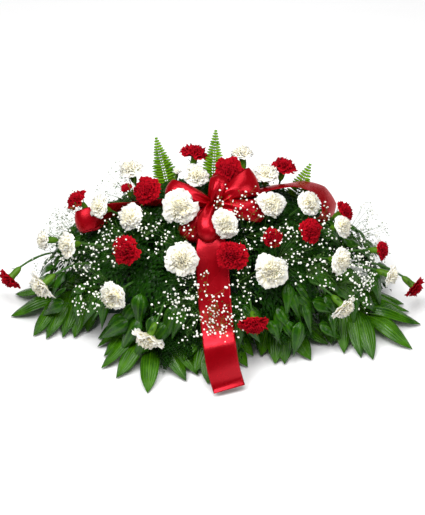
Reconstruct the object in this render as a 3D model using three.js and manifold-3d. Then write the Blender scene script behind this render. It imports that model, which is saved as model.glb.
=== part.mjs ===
// A casket spray: red and white carnations, baby's breath, sword fern, leatherleaf fern, palm
// foliage and a wired satin bow with one streamer, all stuck in a floral foam brick in a plastic
// saddle tray that stands on its flat floor.
// Millimetres. +X is the viewer's right, -Y faces the viewer, +Z is up, and the origin is the
// middle of the tray's underside.
import * as THREE from 'three';
import { mergeVertices } from 'three/addons/utils/BufferGeometryUtils.js';
import Module from 'manifold-3d';

const wasm = await Module();
wasm.setup();

const vec = (x, y, z) => new THREE.Vector3(x, y, z);
const UP = vec(0, 0, 1);

// Driving dimensions
const GAP = 0.4; // clearance between neighbouring pieces
const TRAY_FLOOR = 4; // thickness of the saddle's floor
const TRAY_WALL = 3;
const TRAY_WALL_HEIGHT = 30;
const TRAY_LEG = 46; // how far each corner leg reaches beyond the wall
const FOAM = vec(452, 104, 80); // two floral foam bricks, laid end to end and soaked
const FOAM_LOW = TRAY_FLOOR + GAP;
const FOAM_TOP = FOAM_LOW + FOAM.z;
const HUB = vec(95, 0, 48); // where the carnation stems of the right half meet in the foam
const STEM_RADIUS = 2.3;
const STEM_SIDES = 4;
const CALYX_LENGTH = 27;
const CALYX_RADIUS = 6.8;
const HEAD_BASE_RADIUS = 5.6;
const FLOOR_CLEARANCE = 2; // the lowest leaves hang this far above the table
const RIBBON_WIDTH = 70;
const RIBBON_THICKNESS = 0.9;
const KNOT = vec(2, -40, 303);
const KNOT_RADIUS = 20;
const CHAMBER = 18; // radius of the crumbled foam where many stems meet
const HOLE_SIDES = 3;
const HOLE_CORNER = 1 / Math.cos(Math.PI / HOLE_SIDES); // so that a hole's flats clear a round stem
const VIEW = vec(0, -0.74, 0.67); // the side that the fern fronds face

// Colours of the fresh flowers and of the ribbon
const finish = (color, roughness, metalness = 0) =>
  new THREE.MeshStandardMaterial({ color, roughness, metalness });
const RED_PETAL = finish(0xb0101e, 0.7);
const WHITE_PETAL = finish(0xf4f1e6, 0.7);
const STEM_GREEN = finish(0x4f7f34, 0.55);
const PALM_GREEN = finish(0x1f5a1c, 0.35);
const SWORD_GREEN = finish(0x5f9a2a, 0.5);
const LEATHERLEAF_GREEN = finish(0x174a1c, 0.45);
const BREATH_WHITE = finish(0xf2f2ea, 0.8);
const SATIN_RED = finish(0xc00a1c, 0.3);
const FOAM_GREEN = finish(0x2f5f3a, 0.95);
const TRAY_GREEN = finish(0x1d4a2a, 0.5);

// Each carnation: name, x, y, z of its head, its width, and how many degrees its face leans from
// the line of its stem towards the front and down.
const WHITE = [
  ['top_left', -177, 72, 304, 57, 0],
  ['left_shoulder', -243, -34, 290, 54, 22],
  ['left_centre', -175, -80, 302, 60, 28],
  ['front_crown_left', -70, -76, 326, 74, 28],
  ['crown', -34, 6, 344, 60, 10],
  ['crown_bud', -76, 24, 338, 24, 0],
  ['back_crown', 64, 132, 296, 57, 0],
  ['right_crown', 114, 26, 333, 56, 4],
  ['front_crown_right', 126, -62, 322, 61, 28],
  ['right_shoulder', 206, -38, 305, 56, 18],
  ['front_middle', 27, -114, 312, 61, 32],
  ['front_left', -66, -171, 262, 74, 10],
  ['front_right', 123, -182, 238, 76, 6],
  ['right_centre', 274, -131, 221, 57, 20],
  ['right_upper', 278, -64, 263, 52, 16],
  ['right_low', 383, -96, 148, 50, 24],
  ['front_right_low', 280, -186, 138, 64, 46],
  ['front_left_low', -212, -195, 178, 74, 24],
  ['front_hanging', -136, -244, 102, 76, 64],
  ['left_low', -366, -121, 142, 72, 44],
  ['left_upper', -311, -88, 230, 56, 20],
  ['far_left_upper', -363, -46, 205, 46, 18],
  ['back_right', 132, 188, 138, 58, 0],
];
const RED = [
  ['back_top', -37, 121, 307, 64, 0],
  ['crown', 33, 22, 343, 66, 32],
  ['left_top', -140, -24, 328, 62, 30],
  ['left_top_bud', -184, 4, 308, 34, 0],
  ['far_left_top', -293, 30, 254, 54, 0],
  ['left_front', -184, -141, 259, 66, 18],
  ['front_centre', 40, -166, 270, 68, 8],
  ['front_right_small', 127, -128, 286, 45, 20],
  ['right_front', 210, -98, 279, 55, 22],
  ['right_top', 153, 76, 310, 59, 0],
  ['front_low', 90, -241, 138, 62, 36],
  ['far_left', -440, -39, 86, 56, 48],
  ['far_right_top', 285, 12, 238, 48, 6],
  ['right_end', 364, -66, 194, 43, 14],
  ['far_right', 437, -59, 80, 54, 40],
  ['back_left', -124, 192, 130, 58, 0],
];

// A repeatable source of random numbers from 0 to 1
function seeded(seed) {
  let state = seed;
  return () => {
    state = (state * 16807) % 2147483647;
    return state / 2147483647;
  };
}

// Triangles between two rings of points that turn the same way; their counts may differ.
function zip(triangles, lower, upper) {
  const n = lower.length;
  const m = upper.length;
  let i = 0;
  let j = 0;
  while ((n > 1 && i < n) || (m > 1 && j < m)) {
    const stepLower = n > 1 && i < n && (m === 1 || j >= m || (i + 0.5) / n <= (j + 0.5) / m);
    if (stepLower) {
      triangles.push(lower[i], lower[(i + 1) % n], upper[j % m]);
      i += 1;
    } else {
      triangles.push(lower[i % n], upper[(j + 1) % m], upper[j]);
      j += 1;
    }
  }
}

// One closed solid from a list of triangle corners
function solidOf(corners) {
  const geometry = new THREE.BufferGeometry().setFromPoints(corners);
  return solidOfGeometry(geometry);
}

function solidOfGeometry(source) {
  const geometry = source.clone();
  geometry.deleteAttribute('normal');
  geometry.deleteAttribute('uv');
  const merged = mergeVertices(geometry, 1e-4);
  const mesh = new wasm.Mesh({
    numProp: 3,
    vertProperties: merged.attributes.position.array,
    triVerts: new Uint32Array(merged.index.array),
  });
  return new wasm.Manifold(mesh);
}

// Where each side of a four-cornered section is split: from the corner behind or the one before,
// so that the two faces of a thin sheet are split alike and never cross.
const SHEET_SPLIT = [true, true, false, true];
const BLADE_SPLIT = [true, false, true, false];

function joinSections(triangles, a, b, split) {
  split.forEach((back, k) => {
    const next = (k + 1) % 4;
    if (back) triangles.push(a[k], a[next], b[k], a[next], b[next], b[k]);
    else triangles.push(a[k], a[next], b[next], a[k], b[next], b[k]);
  });
}

// A closed solid through a list of rings, each an array of points or a single end point
function skin(rings, split) {
  const corners = [];
  const cap = (ring, flip) => {
    for (let i = 1; i + 1 < ring.length; i += 1) {
      corners.push(ring[0], flip ? ring[i + 1] : ring[i], flip ? ring[i] : ring[i + 1]);
    }
  };
  cap(rings[0], true);
  for (let i = 0; i + 1 < rings.length; i += 1) {
    const [a, b] = [rings[i], rings[i + 1]];
    if (split && a.length === 4 && b.length === 4) joinSections(corners, a, b, split);
    else zip(corners, a, b);
  }
  cap(rings[rings.length - 1], false);
  return solidOf(corners);
}

const union = (solids) => wasm.Manifold.union(solids);

// Joins solids into one piece, without slivers, and fills any pocket that is sealed between them.
function fuse(solids) {
  const bodies = union(solids).asOriginal().simplify(0.25).decompose();
  return union(bodies.filter((body) => body.volume() > 0));
}

const along = (from, to, share) => from.clone().lerp(to, share);

// The direction of a path at each of its points
function headings(path) {
  return path.map((point, i) => {
    const before = path[Math.max(i - 1, 0)];
    const after = path[Math.min(i + 1, path.length - 1)];
    return after.clone().sub(before).normalize();
  });
}

// A round stem along a path, with a radius at each point; a radius of 0 ends in a point.
function tube(path, radii, sides) {
  const towards = headings(path);
  const first = Math.abs(towards[0].z) > 0.9 ? vec(0, 1, 0) : UP;
  let across = towards[0].clone().cross(first).normalize();
  const rings = path.map((point, i) => {
    across = across.clone().addScaledVector(towards[i], -across.dot(towards[i])).normalize();
    const other = towards[i].clone().cross(across);
    if (radii[i] === 0) return [point];
    return Array.from({ length: sides }, (_, k) => {
      const turn = (k / sides) * 2 * Math.PI;
      return point
        .clone()
        .addScaledVector(across, radii[i] * Math.cos(turn))
        .addScaledVector(other, radii[i] * Math.sin(turn));
    });
  });
  return skin(rings);
}

// Clearance between nodes

const placed = []; // every solid that later pieces keep clear of
const box = (solid) => {
  const { min, max } = solid.boundingBox();
  return new THREE.Box3(vec(...min), vec(...max));
};

function isClear(solid) {
  const reach = box(solid).expandByScalar(GAP);
  if (reach.min.z < FLOOR_CLEARANCE / 2) return false;
  return placed.every(
    (other) => !reach.intersectsBox(other.box) || solid.minGap(other.solid, GAP) >= GAP * 0.9,
  );
}

// The first of several versions of a piece that is clear of all the others, or null
function firstClear(versions) {
  for (const version of versions) {
    const solid = version();
    if (isClear(solid)) return solid;
  }
  return null;
}

// A point, then points round it at growing distances, to try one after another
function nearby(point, distances) {
  const tries = [point];
  for (const distance of distances) {
    for (const z of [0, -0.7, 0.7]) {
      for (let turn = 0; turn < 8; turn += 1) {
        const side = vec(Math.cos((turn * Math.PI) / 4), Math.sin((turn * Math.PI) / 4), z).normalize();
        tries.push(point.clone().addScaledVector(side, distance));
      }
    }
  }
  return tries;
}

const group = new THREE.Group();

function addNode(name, solid, material) {
  const mesh = solid.getMesh();
  const positions = new Float32Array(mesh.numVert * 3);
  for (let i = 0; i < mesh.numVert; i += 1) {
    const start = i * mesh.numProp;
    positions.set(mesh.vertProperties.subarray(start, start + 3), i * 3);
  }
  const geometry = new THREE.BufferGeometry()
    .setAttribute('position', new THREE.BufferAttribute(positions, 3))
    .setIndex(new THREE.BufferAttribute(mesh.triVerts, 1));
  geometry.computeVertexNormals();
  const node = new THREE.Mesh(geometry, material);
  node.name = name;
  group.add(node);
  placed.push({ solid, box: box(solid), name });
}

// Holes that the stems leave in the foam
const foamHoles = [];

// Carnation heads

const HEAD_PETALS = 5; // petals in each ruffled whorl, with four rim points a petal
const RIM = [0.8, 1, 0.92, 1]; // the notch beside a petal, and its two lobes

// Whorls from the calyx up: radius and height as shares of the head's width, points in the ring,
// and how far the rim ruffles up and down. A ring with no ruffle is a valley between whorls.
const WHORLS = [
  { radius: 0.5, height: 0.08, points: 20, ruffle: 0.035 },
  { radius: 0.27, height: 0.19, points: 5, ruffle: 0 },
  { radius: 0.41, height: 0.27, points: 15, ruffle: 0.035 },
  { radius: 0.17, height: 0.29, points: 5, ruffle: 0 },
  { radius: 0.25, height: 0.4, points: 10, ruffle: 0.03 },
];

function head(width, random) {
  const pentagon = Array.from({ length: 5 }, (_, k) => {
    const turn = (k / 5) * 2 * Math.PI;
    return vec(HEAD_BASE_RADIUS * Math.cos(turn), HEAD_BASE_RADIUS * Math.sin(turn), 0);
  });
  const rings = WHORLS.map(({ radius, height, points, ruffle }) =>
    Array.from({ length: points }, (_, k) => {
      const turn = (k / points) * 2 * Math.PI;
      const lobe = ruffle ? RIM[Math.floor((k * HEAD_PETALS * 4) / points) % 4] : 1;
      const r = width * radius * lobe * (ruffle ? 0.96 + 0.08 * random() : 1);
      const wave = ruffle * (k % 2 ? 1 : -1) * (0.6 + 0.6 * random());
      return vec(r * Math.cos(turn), r * Math.sin(turn), width * (height + wave));
    }),
  );
  return skin([pentagon, ...rings, [vec(0, 0, 0.35 * width)]]);
}

// Where a bloom's stem runs: from its hub in the foam, over a knee, into the back of the head
function bloomPath([, x, y, z, , lean]) {
  const middle = vec(x, y, z);
  const hub = vec(Math.sign(x) * HUB.x, HUB.y, HUB.z);
  const reach = middle.clone().sub(hub);
  const facing = reach.clone().normalize();
  const outward = vec(0.0045 * x, -1, -0.9).normalize();
  const axis = facing.clone().cross(outward).normalize();
  facing.applyAxisAngle(axis, THREE.MathUtils.degToRad(lean));
  const knee = middle.clone().addScaledVector(facing, -0.14 * reach.length() - 40);
  return { middle, hub, facing, knee: along(hub, knee, 0.88) };
}

function placeHead(solid, { middle, facing }, width, spin) {
  const seat = middle.clone().addScaledVector(facing, -0.12 * width);
  const turn = new THREE.Quaternion().setFromUnitVectors(UP, facing);
  turn.multiply(new THREE.Quaternion().setFromAxisAngle(UP, spin));
  const matrix = new THREE.Matrix4().compose(seat, turn, vec(1, 1, 1));
  return solid.transform(matrix.elements);
}

// The green part of a carnation: stem, and the calyx that holds the petals
function stalk({ middle, hub, facing }, knee, width) {
  const seat = middle.clone().addScaledVector(facing, -0.12 * width - GAP);
  const slim = Math.min(1, width / 45); // a bud has a smaller calyx
  const neck = seat.clone().addScaledVector(facing, -CALYX_LENGTH * slim - 4);
  const low = seat.clone().addScaledVector(facing, -CALYX_LENGTH * slim + 3);
  const radii = [STEM_RADIUS, STEM_RADIUS, STEM_RADIUS, CALYX_RADIUS * 0.8 * slim, CALYX_RADIUS * slim];
  return tube([hub, knee, neck, low, seat], radii, STEM_SIDES);
}

// A hole in the foam round a stem that runs straight from one point to another
function bore(from, to, radius) {
  const wide = (radius + GAP + 0.2) * HOLE_CORNER;
  const bottom = from.clone().addScaledVector(to.clone().sub(from).normalize(), -2);
  foamHoles.push(tube([bottom, to], [wide, wide], HOLE_SIDES));
}

const blooms = [
  ...WHITE.map((row) => ({ colour: 'white', petals: WHITE_PETAL, row })),
  ...RED.map((row) => ({ colour: 'red', petals: RED_PETAL, row })),
];
blooms.forEach(({ colour, petals, row }, i) => {
  const [name, , , , width] = row;
  const solid = placeHead(head(width, seeded(101 + 37 * i)), bloomPath(row), width, i * 2.4);
  addNode(`${colour}_carnation_${name}`, solid, petals);
});

// Ribbon

// Where a ribbon is as the spray is seen from in front and above: x, how high it looks, and how
// near it is. turn is how far its width is turned from edge-on, in degrees.
const SIGHT = THREE.MathUtils.degToRad(42);
const TOWARDS_VIEWER = vec(0, -Math.cos(SIGHT), Math.sin(SIGHT));
const SEEN_UP = vec(0, Math.sin(SIGHT), Math.cos(SIGHT));
const seen = (x, up, near) =>
  vec(x, 0, 0).addScaledVector(SEEN_UP, up).addScaledVector(TOWARDS_VIEWER, near);

// A strip of satin along a path, as one flat section after another. Where the path runs along the
// line of sight, its width keeps the direction that it had.
function strip(points) {
  const towards = headings(points.map((p) => p.at));
  let broad = null;
  const rings = points.map(({ at, turn, width }, i) => {
    const angle = THREE.MathUtils.degToRad(turn);
    const across = towards[i].clone().cross(TOWARDS_VIEWER);
    if (!broad || across.length() > 0.5) {
      const same = broad && across.dot(broad) < 0 ? -1 : 1;
      broad = across.normalize().multiplyScalar(same);
    }
    const sight = towards[i].dot(TOWARDS_VIEWER);
    const deep = TOWARDS_VIEWER.clone().addScaledVector(towards[i], -sight).normalize();
    const side = deep.multiplyScalar(Math.cos(angle)).addScaledVector(broad, Math.sin(angle)).normalize();
    const face = towards[i].clone().cross(side).normalize();
    const corner = (s, f) =>
      at.clone().addScaledVector(side, s * width * 0.5).addScaledVector(face, f * RIBBON_THICKNESS * 0.5);
    return [corner(1, 1), corner(-1, 1), corner(-1, -1), corner(1, -1)];
  });
  return skin(rings, SHEET_SPLIT);
}

// A bow loop: out from the knot and back to it, pinched narrow where it is tied
function loop(rows) {
  const start = { at: KNOT.clone().addScaledVector(TOWARDS_VIEWER, 4), turn: rows[0][3], width: 12 };
  const end = { at: KNOT.clone().addScaledVector(TOWARDS_VIEWER, -4), turn: rows[rows.length - 1][3], width: 12 };
  const middle = rows.map(([x, up, near, turn, share]) => ({
    at: seen(x, up, near), turn, width: share * RIBBON_WIDTH,
  }));
  return strip([start, ...middle, end]);
}

// Rows of x, up, near, turn, and the width as a share of the ribbon's
const LOOPS = {
  long_left: [
    [-44, 200, 222, 50, 0.5], [-110, 200, 196, 18, 0.8], [-176, 198, 184, 8, 0.8],
    [-222, 186, 186, 30, 0.78], [-260, 169, 190, 84, 0.7], [-284, 161, 182, 90, 0.66],
    [-286, 159, 164, 90, 0.66], [-256, 166, 154, 84, 0.7], [-180, 192, 162, 12, 0.8],
    [-50, 194, 204, 50, 0.5],
  ],
  long_right: [
    [48, 206, 214, 30, 0.5], [112, 228, 190, 8, 0.7], [165, 238, 168, 8, 0.8],
    [204, 237, 150, 14, 0.9], [236, 222, 142, 18, 0.9], [250, 196, 138, 18, 0.9],
    [243, 170, 138, 18, 0.9], [214, 158, 138, 14, 0.8], [150, 168, 150, 10, 0.7],
    [48, 186, 202, 40, 0.5],
  ],
  up_left: [
    [-26, 208, 246, 90, 0.45], [-84, 224, 246, 90, 0.74], [-90, 225, 234, 90, 0.74],
    [-82, 222, 222, 90, 0.74], [-26, 206, 224, 90, 0.45],
  ],
  up: [
    [4, 214, 250, 90, 0.4], [13, 243, 254, 90, 0.58], [14, 246, 243, 90, 0.58],
    [13, 241, 232, 90, 0.58], [4, 212, 230, 90, 0.4],
  ],
  up_right: [
    [30, 218, 246, 90, 0.45], [82, 244, 236, 90, 0.9], [90, 247, 224, 90, 0.9],
    [82, 243, 210, 90, 0.9], [28, 214, 220, 90, 0.45],
  ],
  right: [
    [32, 192, 250, 90, 0.4], [94, 184, 244, 90, 0.72], [103, 184, 232, 90, 0.72],
    [94, 184, 220, 90, 0.72], [32, 190, 224, 90, 0.4],
  ],
  hanging: [
    [-8, 182, 262, 90, 0.35], [-11, 138, 278, 90, 0.55], [-9, 130, 268, 90, 0.55],
    [-9, 136, 256, 90, 0.55], [-4, 182, 240, 90, 0.35],
  ],
  down_left: [
    [-18, 176, 238, 90, 0.4], [-50, 136, 234, 90, 0.75], [-53, 131, 222, 90, 0.75],
    [-49, 136, 212, 90, 0.75], [-16, 176, 216, 90, 0.4],
  ],
};

// The streamer: out of the knot, over the front of the spray, and down to the table
const streamer = strip([
  { at: seen(1, 180, 226), turn: 90, width: 14 },
  { at: seen(-2, 144, 246), turn: 90, width: 50 },
  { at: seen(-2, 96, 258), turn: 90, width: RIBBON_WIDTH },
  { at: seen(2, 34, 258), turn: 90, width: RIBBON_WIDTH },
  { at: seen(6, -24, 254), turn: 90, width: RIBBON_WIDTH },
  { at: seen(12, -76, 264), turn: 88, width: RIBBON_WIDTH },
  { at: seen(16, -108, 268), turn: 86, width: RIBBON_WIDTH },
  { at: seen(22, -146, 256), turn: 84, width: RIBBON_WIDTH },
  { at: seen(32, -188, 238), turn: 78, width: RIBBON_WIDTH },
  { at: seen(38, -201, 241), turn: 76, width: RIBBON_WIDTH },
]);
const knotBall = solidOfGeometry(new THREE.IcosahedronGeometry(KNOT_RADIUS, 0)).translate(KNOT.toArray());
const pickPath = [KNOT, vec(0, -30, 150), vec(-2, -20, 98), vec(-6, -14, 44)];
const bowPick = tube(pickPath, [1.8, 1.8, 1.8, 0], 4);
bore(pickPath[3], pickPath[2], 1.8);
const ribbon = fuse([knotBall, bowPick, streamer, ...Object.values(LOOPS).map(loop)]);
addNode('ribbon_bow', ribbon, SATIN_RED);

// Stems: each tries bends until it passes clear of the ribbon and of other flowers.
for (const side of ['left', 'right']) {
  const stalks = blooms.filter(({ row }) => row[1] < 0 === (side === 'left')).map(({ row }) => {
    const path = bloomPath(row);
    const bends = nearby(path.knee, [14, 26, 38, 50, 64]);
    let knee = null;
    const solid = firstClear(bends.map((bend) => () => {
      knee = bend;
      return stalk(path, bend, row[4]);
    }));
    if (!solid) throw new Error(`no way for the stem of ${row[0]}`);
    bore(path.hub, knee, STEM_RADIUS);
    return solid;
  });
  addNode(`carnation_stems_${side}`, fuse(stalks), STEM_GREEN);
}

// Saddle: a tray round the foam, with a short leg at each corner
const block = (x, y, z, at) => solidOfGeometry(new THREE.BoxGeometry(x, y, z)).translate(at.toArray());
const inner = vec(FOAM.x + 2 * GAP, FOAM.y + 2 * GAP, TRAY_WALL_HEIGHT);
const shell = block(
  inner.x + 2 * TRAY_WALL, inner.y + 2 * TRAY_WALL, TRAY_WALL_HEIGHT, vec(0, 0, TRAY_WALL_HEIGHT / 2),
);
const hollow = block(inner.x, inner.y, TRAY_WALL_HEIGHT, vec(0, 0, TRAY_WALL_HEIGHT / 2 + TRAY_FLOOR));
const legs = [];
for (const sx of [-1, 1]) {
  for (const sy of [-1, 1]) {
    const leg = new THREE.Shape([
      new THREE.Vector2(0, 14),
      new THREE.Vector2(0, 22),
      new THREE.Vector2(TRAY_LEG - 14, 3),
      new THREE.Vector2(TRAY_LEG, 3),
      new THREE.Vector2(TRAY_LEG, 0),
      new THREE.Vector2(TRAY_LEG - 16, 0),
    ]);
    const geometry = new THREE.ExtrudeGeometry(leg, { depth: 22, bevelEnabled: false });
    geometry.rotateX(Math.PI / 2).rotateZ(Math.PI / 2);
    const solid = solidOfGeometry(geometry);
    const turned = sy < 0 ? solid.rotate([0, 0, 180]) : solid;
    const shift = sy < 0 ? 11 : -11;
    legs.push(turned.translate([sx * 190 + shift, sy * (inner.y / 2 + TRAY_WALL - 1), 0]));
  }
}
addNode('saddle_tray', union([shell.subtract(hollow), ...legs]), TRAY_GREEN);

// Foliage

// A leaf blade folded along its midrib: width at each point of its path, and the side it faces
function blade(path, widths, face, fold) {
  const towards = headings(path);
  const rings = path.map((point, i) => {
    if (widths[i] === 0) return [point];
    const side = face.clone().cross(towards[i]).normalize();
    const top = towards[i].clone().cross(side);
    const half = widths[i] / 2;
    return [
      point.clone().addScaledVector(side, half),
      point.clone().addScaledVector(top, fold * half + 0.9),
      point.clone().addScaledVector(side, -half),
      point.clone().addScaledVector(top, fold * half - 0.9),
    ];
  });
  return skin(rings, BLADE_SPLIT);
}

// Palm fronds: where each leaves the foam, its bearing, the length of its rib, its leaflets' length
const PALMS = [
  ['front_left', -120, -50, 266, 130, 150],
  ['front', 6, -50, 266, 130, 118],
  ['front_right', 108, -62, 305, 92, 104],
  ['right_end', 224, -14, 322, 130, 140],
  ['left_end', -224, -10, 196, 110, 130],
  ['back_right', 120, 50, 62, 150, 130],
  ['back_left', -120, 50, 118, 150, 130],
];
const PALM_PAIRS = 5;
const PALM_LEAF_WIDTH = 34;
const PALM_ENTRY = 52; // height of the stems where they leave the foam

function palmRib(x, y, bearing, length) {
  const turn = THREE.MathUtils.degToRad(bearing);
  const out = vec(Math.cos(turn), Math.sin(turn), 0);
  const at = (distance, z) => vec(x, y, 0).addScaledVector(out, distance).setZ(z);
  const curve = new THREE.CatmullRomCurve3([at(6, PALM_ENTRY), at(0.45 * length, PALM_ENTRY + 8), at(length, 30)]);
  return { out, curve, path: [at(-24, PALM_ENTRY - 6), ...curve.getPoints(4)] };
}

function palmLeaflet(curve, out, share, angle, length, lift) {
  const base = curve.getPoint(share);
  const way = out.clone().applyAxisAngle(UP, angle);
  const low = FLOOR_CLEARANCE + 4 + lift;
  const middle = base.clone().addScaledVector(way, 0.42 * length);
  middle.z = base.z * 0.8 + 8 + lift;
  const far = base.clone().addScaledVector(way, 0.76 * length);
  far.z = along(middle, vec(0, 0, low), 0.6).z;
  const tip = base.clone().addScaledVector(way, length).setZ(low);
  const widths = [0, PALM_LEAF_WIDTH, 0.8 * PALM_LEAF_WIDTH, 0];
  return blade([base.addScaledVector(way, -1.5), middle, far, tip], widths, UP, 0.22);
}

for (const [name, x, y, bearing, length, leaf] of PALMS) {
  const { out, curve, path } = palmRib(x, y, bearing, length);
  bore(path[0], path[1], 1.3);
  const random = seeded(7 + Math.round(Math.abs(bearing)));
  const parts = [tube(path, [2.6, 2.6, 2.6, 2.4, 2.2, 1.8], 3)];
  for (let pair = 0; pair <= PALM_PAIRS; pair += 1) {
    const share = 0.3 + 0.68 * (pair / PALM_PAIRS);
    for (const side of pair === PALM_PAIRS ? [0] : [-1, 1]) {
      const angle = side * THREE.MathUtils.degToRad(62 - 8 * pair + 8 * random());
      const reach = leaf * (1 - 0.05 * Math.abs(pair - 3)) * (0.92 + 0.16 * random());
      const versions = [0, 7, -3, 14, 22, 32].flatMap((lift) =>
        [0, 0.14, -0.14, 0.28, -0.28].map((swing) => () =>
          palmLeaflet(curve, out, share, angle + swing, reach, lift)));
      const leaflet = firstClear(versions);
      if (leaflet) parts.push(leaflet);
    }
  }
  addNode(`palm_frond_${name}`, fuse(parts), PALM_GREEN);
}

// A fern frond as one thin body: a spine of points, bare at first, then with a pointed leaflet on
// each side of every section. reach(i, side) is how long leaflet i is on side 1 or -1.
function frond(spine, face, bare, reach, { sweep, droop, width, depth }) {
  const towards = headings(spine);
  const frames = spine.slice(0, -1).map((at, i) => {
    const left = face.clone().cross(towards[i]).normalize();
    const top = towards[i].clone().cross(left);
    const slim = 1 - 0.55 * (i / spine.length);
    return {
      at, left, top,
      L: at.clone().addScaledVector(left, width * slim),
      R: at.clone().addScaledVector(left, -width * slim),
      T: at.clone().addScaledVector(top, depth * slim),
      B: at.clone().addScaledVector(top, -depth * slim),
    };
  });
  const first = frames[0];
  const corners = [first.L, first.R, first.T, first.L, first.B, first.R];
  for (let i = 0; i + 1 < frames.length; i += 1) {
    const a = frames[i];
    const b = frames[i + 1];
    const tip = (side) => {
      const length = i < bare ? 0 : reach(i - bare, side);
      const out = a.left.clone().multiplyScalar(side).addScaledVector(towards[i], sweep).normalize();
      return length && along(a.at, b.at, 0.5).addScaledVector(out, length).addScaledVector(a.top, -droop);
    };
    const [p, q] = [tip(1), tip(-1)];
    corners.push(a.T, b.T, b.L, a.B, b.L, b.B, a.T, b.R, b.T, a.B, b.B, b.R);
    if (p) corners.push(a.T, b.L, p, a.T, p, a.L, a.B, a.L, p, a.B, p, b.L);
    else corners.push(a.T, b.L, a.L, a.B, a.L, b.L);
    if (q) corners.push(a.T, a.R, q, a.T, q, b.R, a.B, b.R, q, a.B, q, a.R);
    else corners.push(a.T, a.R, b.R, a.B, b.R, a.R);
  }
  const last = frames[frames.length - 1];
  const end = spine[spine.length - 1];
  corners.push(last.T, end, last.L, last.T, last.R, end, last.B, last.L, end, last.B, end, last.R);
  return solidOf(corners);
}

// A frond whose leaflets are shortened where they would meet another piece
function fittedFrond(spine, face, bare, reach, form) {
  const lengths = new Map();
  for (let i = 0; i + 2 < spine.length - bare; i += 1) {
    for (const side of [1, -1]) {
      const fits = [1, 0.7, 0.4].map((share) => share * reach(i, side)).find((length) => {
        const only = (j, s) => (j === i && s === side ? length : 0);
        return isClear(frond(spine, face, bare, only, form));
      });
      lengths.set(`${i} ${side}`, fits ?? 0);
    }
  }
  return frond(spine, face, bare, (i, side) => lengths.get(`${i} ${side}`), form);
}

// Sword ferns at the crown: root in the foam, where it leaves the foam, knee, and tip
const SWORD_FERNS = [
  ['left', vec(-46, 24, 48), vec(-55, 30, 96), vec(-100, 72, 230), vec(-131, 96, 372)],
  ['middle', vec(-2, 30, 48), vec(-2, 38, 96), vec(0, 84, 220), vec(7, 108, 384)],
  ['right', vec(124, 28, 48), vec(130, 32, 96), vec(170, 52, 200), vec(210, 66, 306)],
];
const SWORD_LEAFLETS = 12;
const SWORD_FORM = { sweep: 0.3, droop: 1.5, width: 1.8, depth: 1.1 };

function swordReach(i) {
  const share = i / (SWORD_LEAFLETS - 1);
  return 27 * Math.min(1, 0.6 + 1.4 * share) * Math.min(1, 0.16 + 1.5 * (1 - share));
}

for (const [name, root, exit, knee, tip] of SWORD_FERNS) {
  const spines = nearby(knee, [10, 20, 32]).flatMap((bend) => nearby(tip, [10, 20]).map((end) => {
    const upper = new THREE.CatmullRomCurve3([exit, bend, end]);
    const leafy = Array.from({ length: SWORD_LEAFLETS + 2 }, (_, i) =>
      upper.getPoint(0.5 + (0.5 * i) / (SWORD_LEAFLETS + 1)));
    return [root, exit, upper.getPoint(0.25), ...leafy];
  }));
  const spine = spines.find((points) => isClear(frond(points, VIEW, 3, () => 0, SWORD_FORM)));
  if (!spine) throw new Error(`no way for sword fern ${name}`);
  bore(root, exit, 1.8);
  addNode(`sword_fern_${name}`, fittedFrond(spine, VIEW, 3, swordReach, SWORD_FORM), SWORD_GREEN);
}

// Leatherleaf ferns low on the slopes and behind: a root in the foam, and ribs from it, each with
// where it leaves the foam, its knee, its tip, and its pairs of side fronds, with one more frond at
// the tip. A side frond is a small fern blade.
const LEATHERLEAF = [
  ['front_left', vec(-34, -30, 48), [[vec(-56, -70, 78), vec(-66, -128, 98), vec(-84, -192, 74), 3]]],
  ['front_right', vec(52, -30, 48), [[vec(62, -70, 78), vec(98, -112, 104), vec(160, -156, 92), 3]]],
  ['back', vec(10, 41, 42), [
    [vec(12, 70, 80), vec(16, 130, 110), vec(4, 206, 84), 2],
    [vec(-38, 60, 92), vec(-112, 96, 160), vec(-222, 126, 122), 2],
    [vec(58, 60, 92), vec(140, 94, 156), vec(244, 114, 116), 2],
  ]],
];
const SIDE_LEAFLETS = 4;
const SIDE_FORM = { sweep: 0.5, droop: 1, width: 1.7, depth: 0.9 };

function leatherleafRib(root, [exit, knee, tip, pairs]) {
  const rib = (bend) => [root, exit, bend, along(bend, tip, 0.5).add(vec(0, 0, 5)), tip];
  const make = (bend) => tube(rib(bend), [2, 2, 1.9, 1.7, 1.4], STEM_SIDES);
  const bend = nearby(knee, [10, 20, 32, 44]).find((point) => isClear(make(point)));
  if (!bend) throw new Error(`no way for the leatherleaf rib to ${tip.toArray()}`);
  bore(root, exit, 2);
  const parts = [make(bend)];
  const curve = new THREE.CatmullRomCurve3(rib(bend).slice(2));
  for (let i = 0; i <= pairs; i += 1) {
    const share = 0.06 + (0.92 * i) / pairs;
    const base = curve.getPoint(share);
    const forward = curve.getTangent(share);
    for (const side of i === pairs ? [0] : [1, -1]) {
      const length = i === pairs ? 78 : 100 - 8 * i;
      const reach = (j) => 0.3 * length * (1 - 0.6 * (j / SIDE_LEAFLETS));
      const versions = [0, 0.2, -0.2, 0.4, -0.4].flatMap((swing) => [0, 10, -8, 18, 30].map((lift) => () => {
        const way = forward.clone().applyAxisAngle(UP, side * (0.95 - 0.1 * i + swing));
        const end = base.clone().addScaledVector(way, length);
        end.z = Math.max(end.z - 16 + lift, 8);
        const arch = new THREE.CatmullRomCurve3([base, along(base, end, 0.5).add(vec(0, 0, 7)), end]);
        return frond(arch.getPoints(SIDE_LEAFLETS + 1), UP, 0, reach, SIDE_FORM);
      }));
      const frondSolid = firstClear(versions);
      if (frondSolid) parts.push(frondSolid);
    }
  }
  return parts;
}

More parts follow.
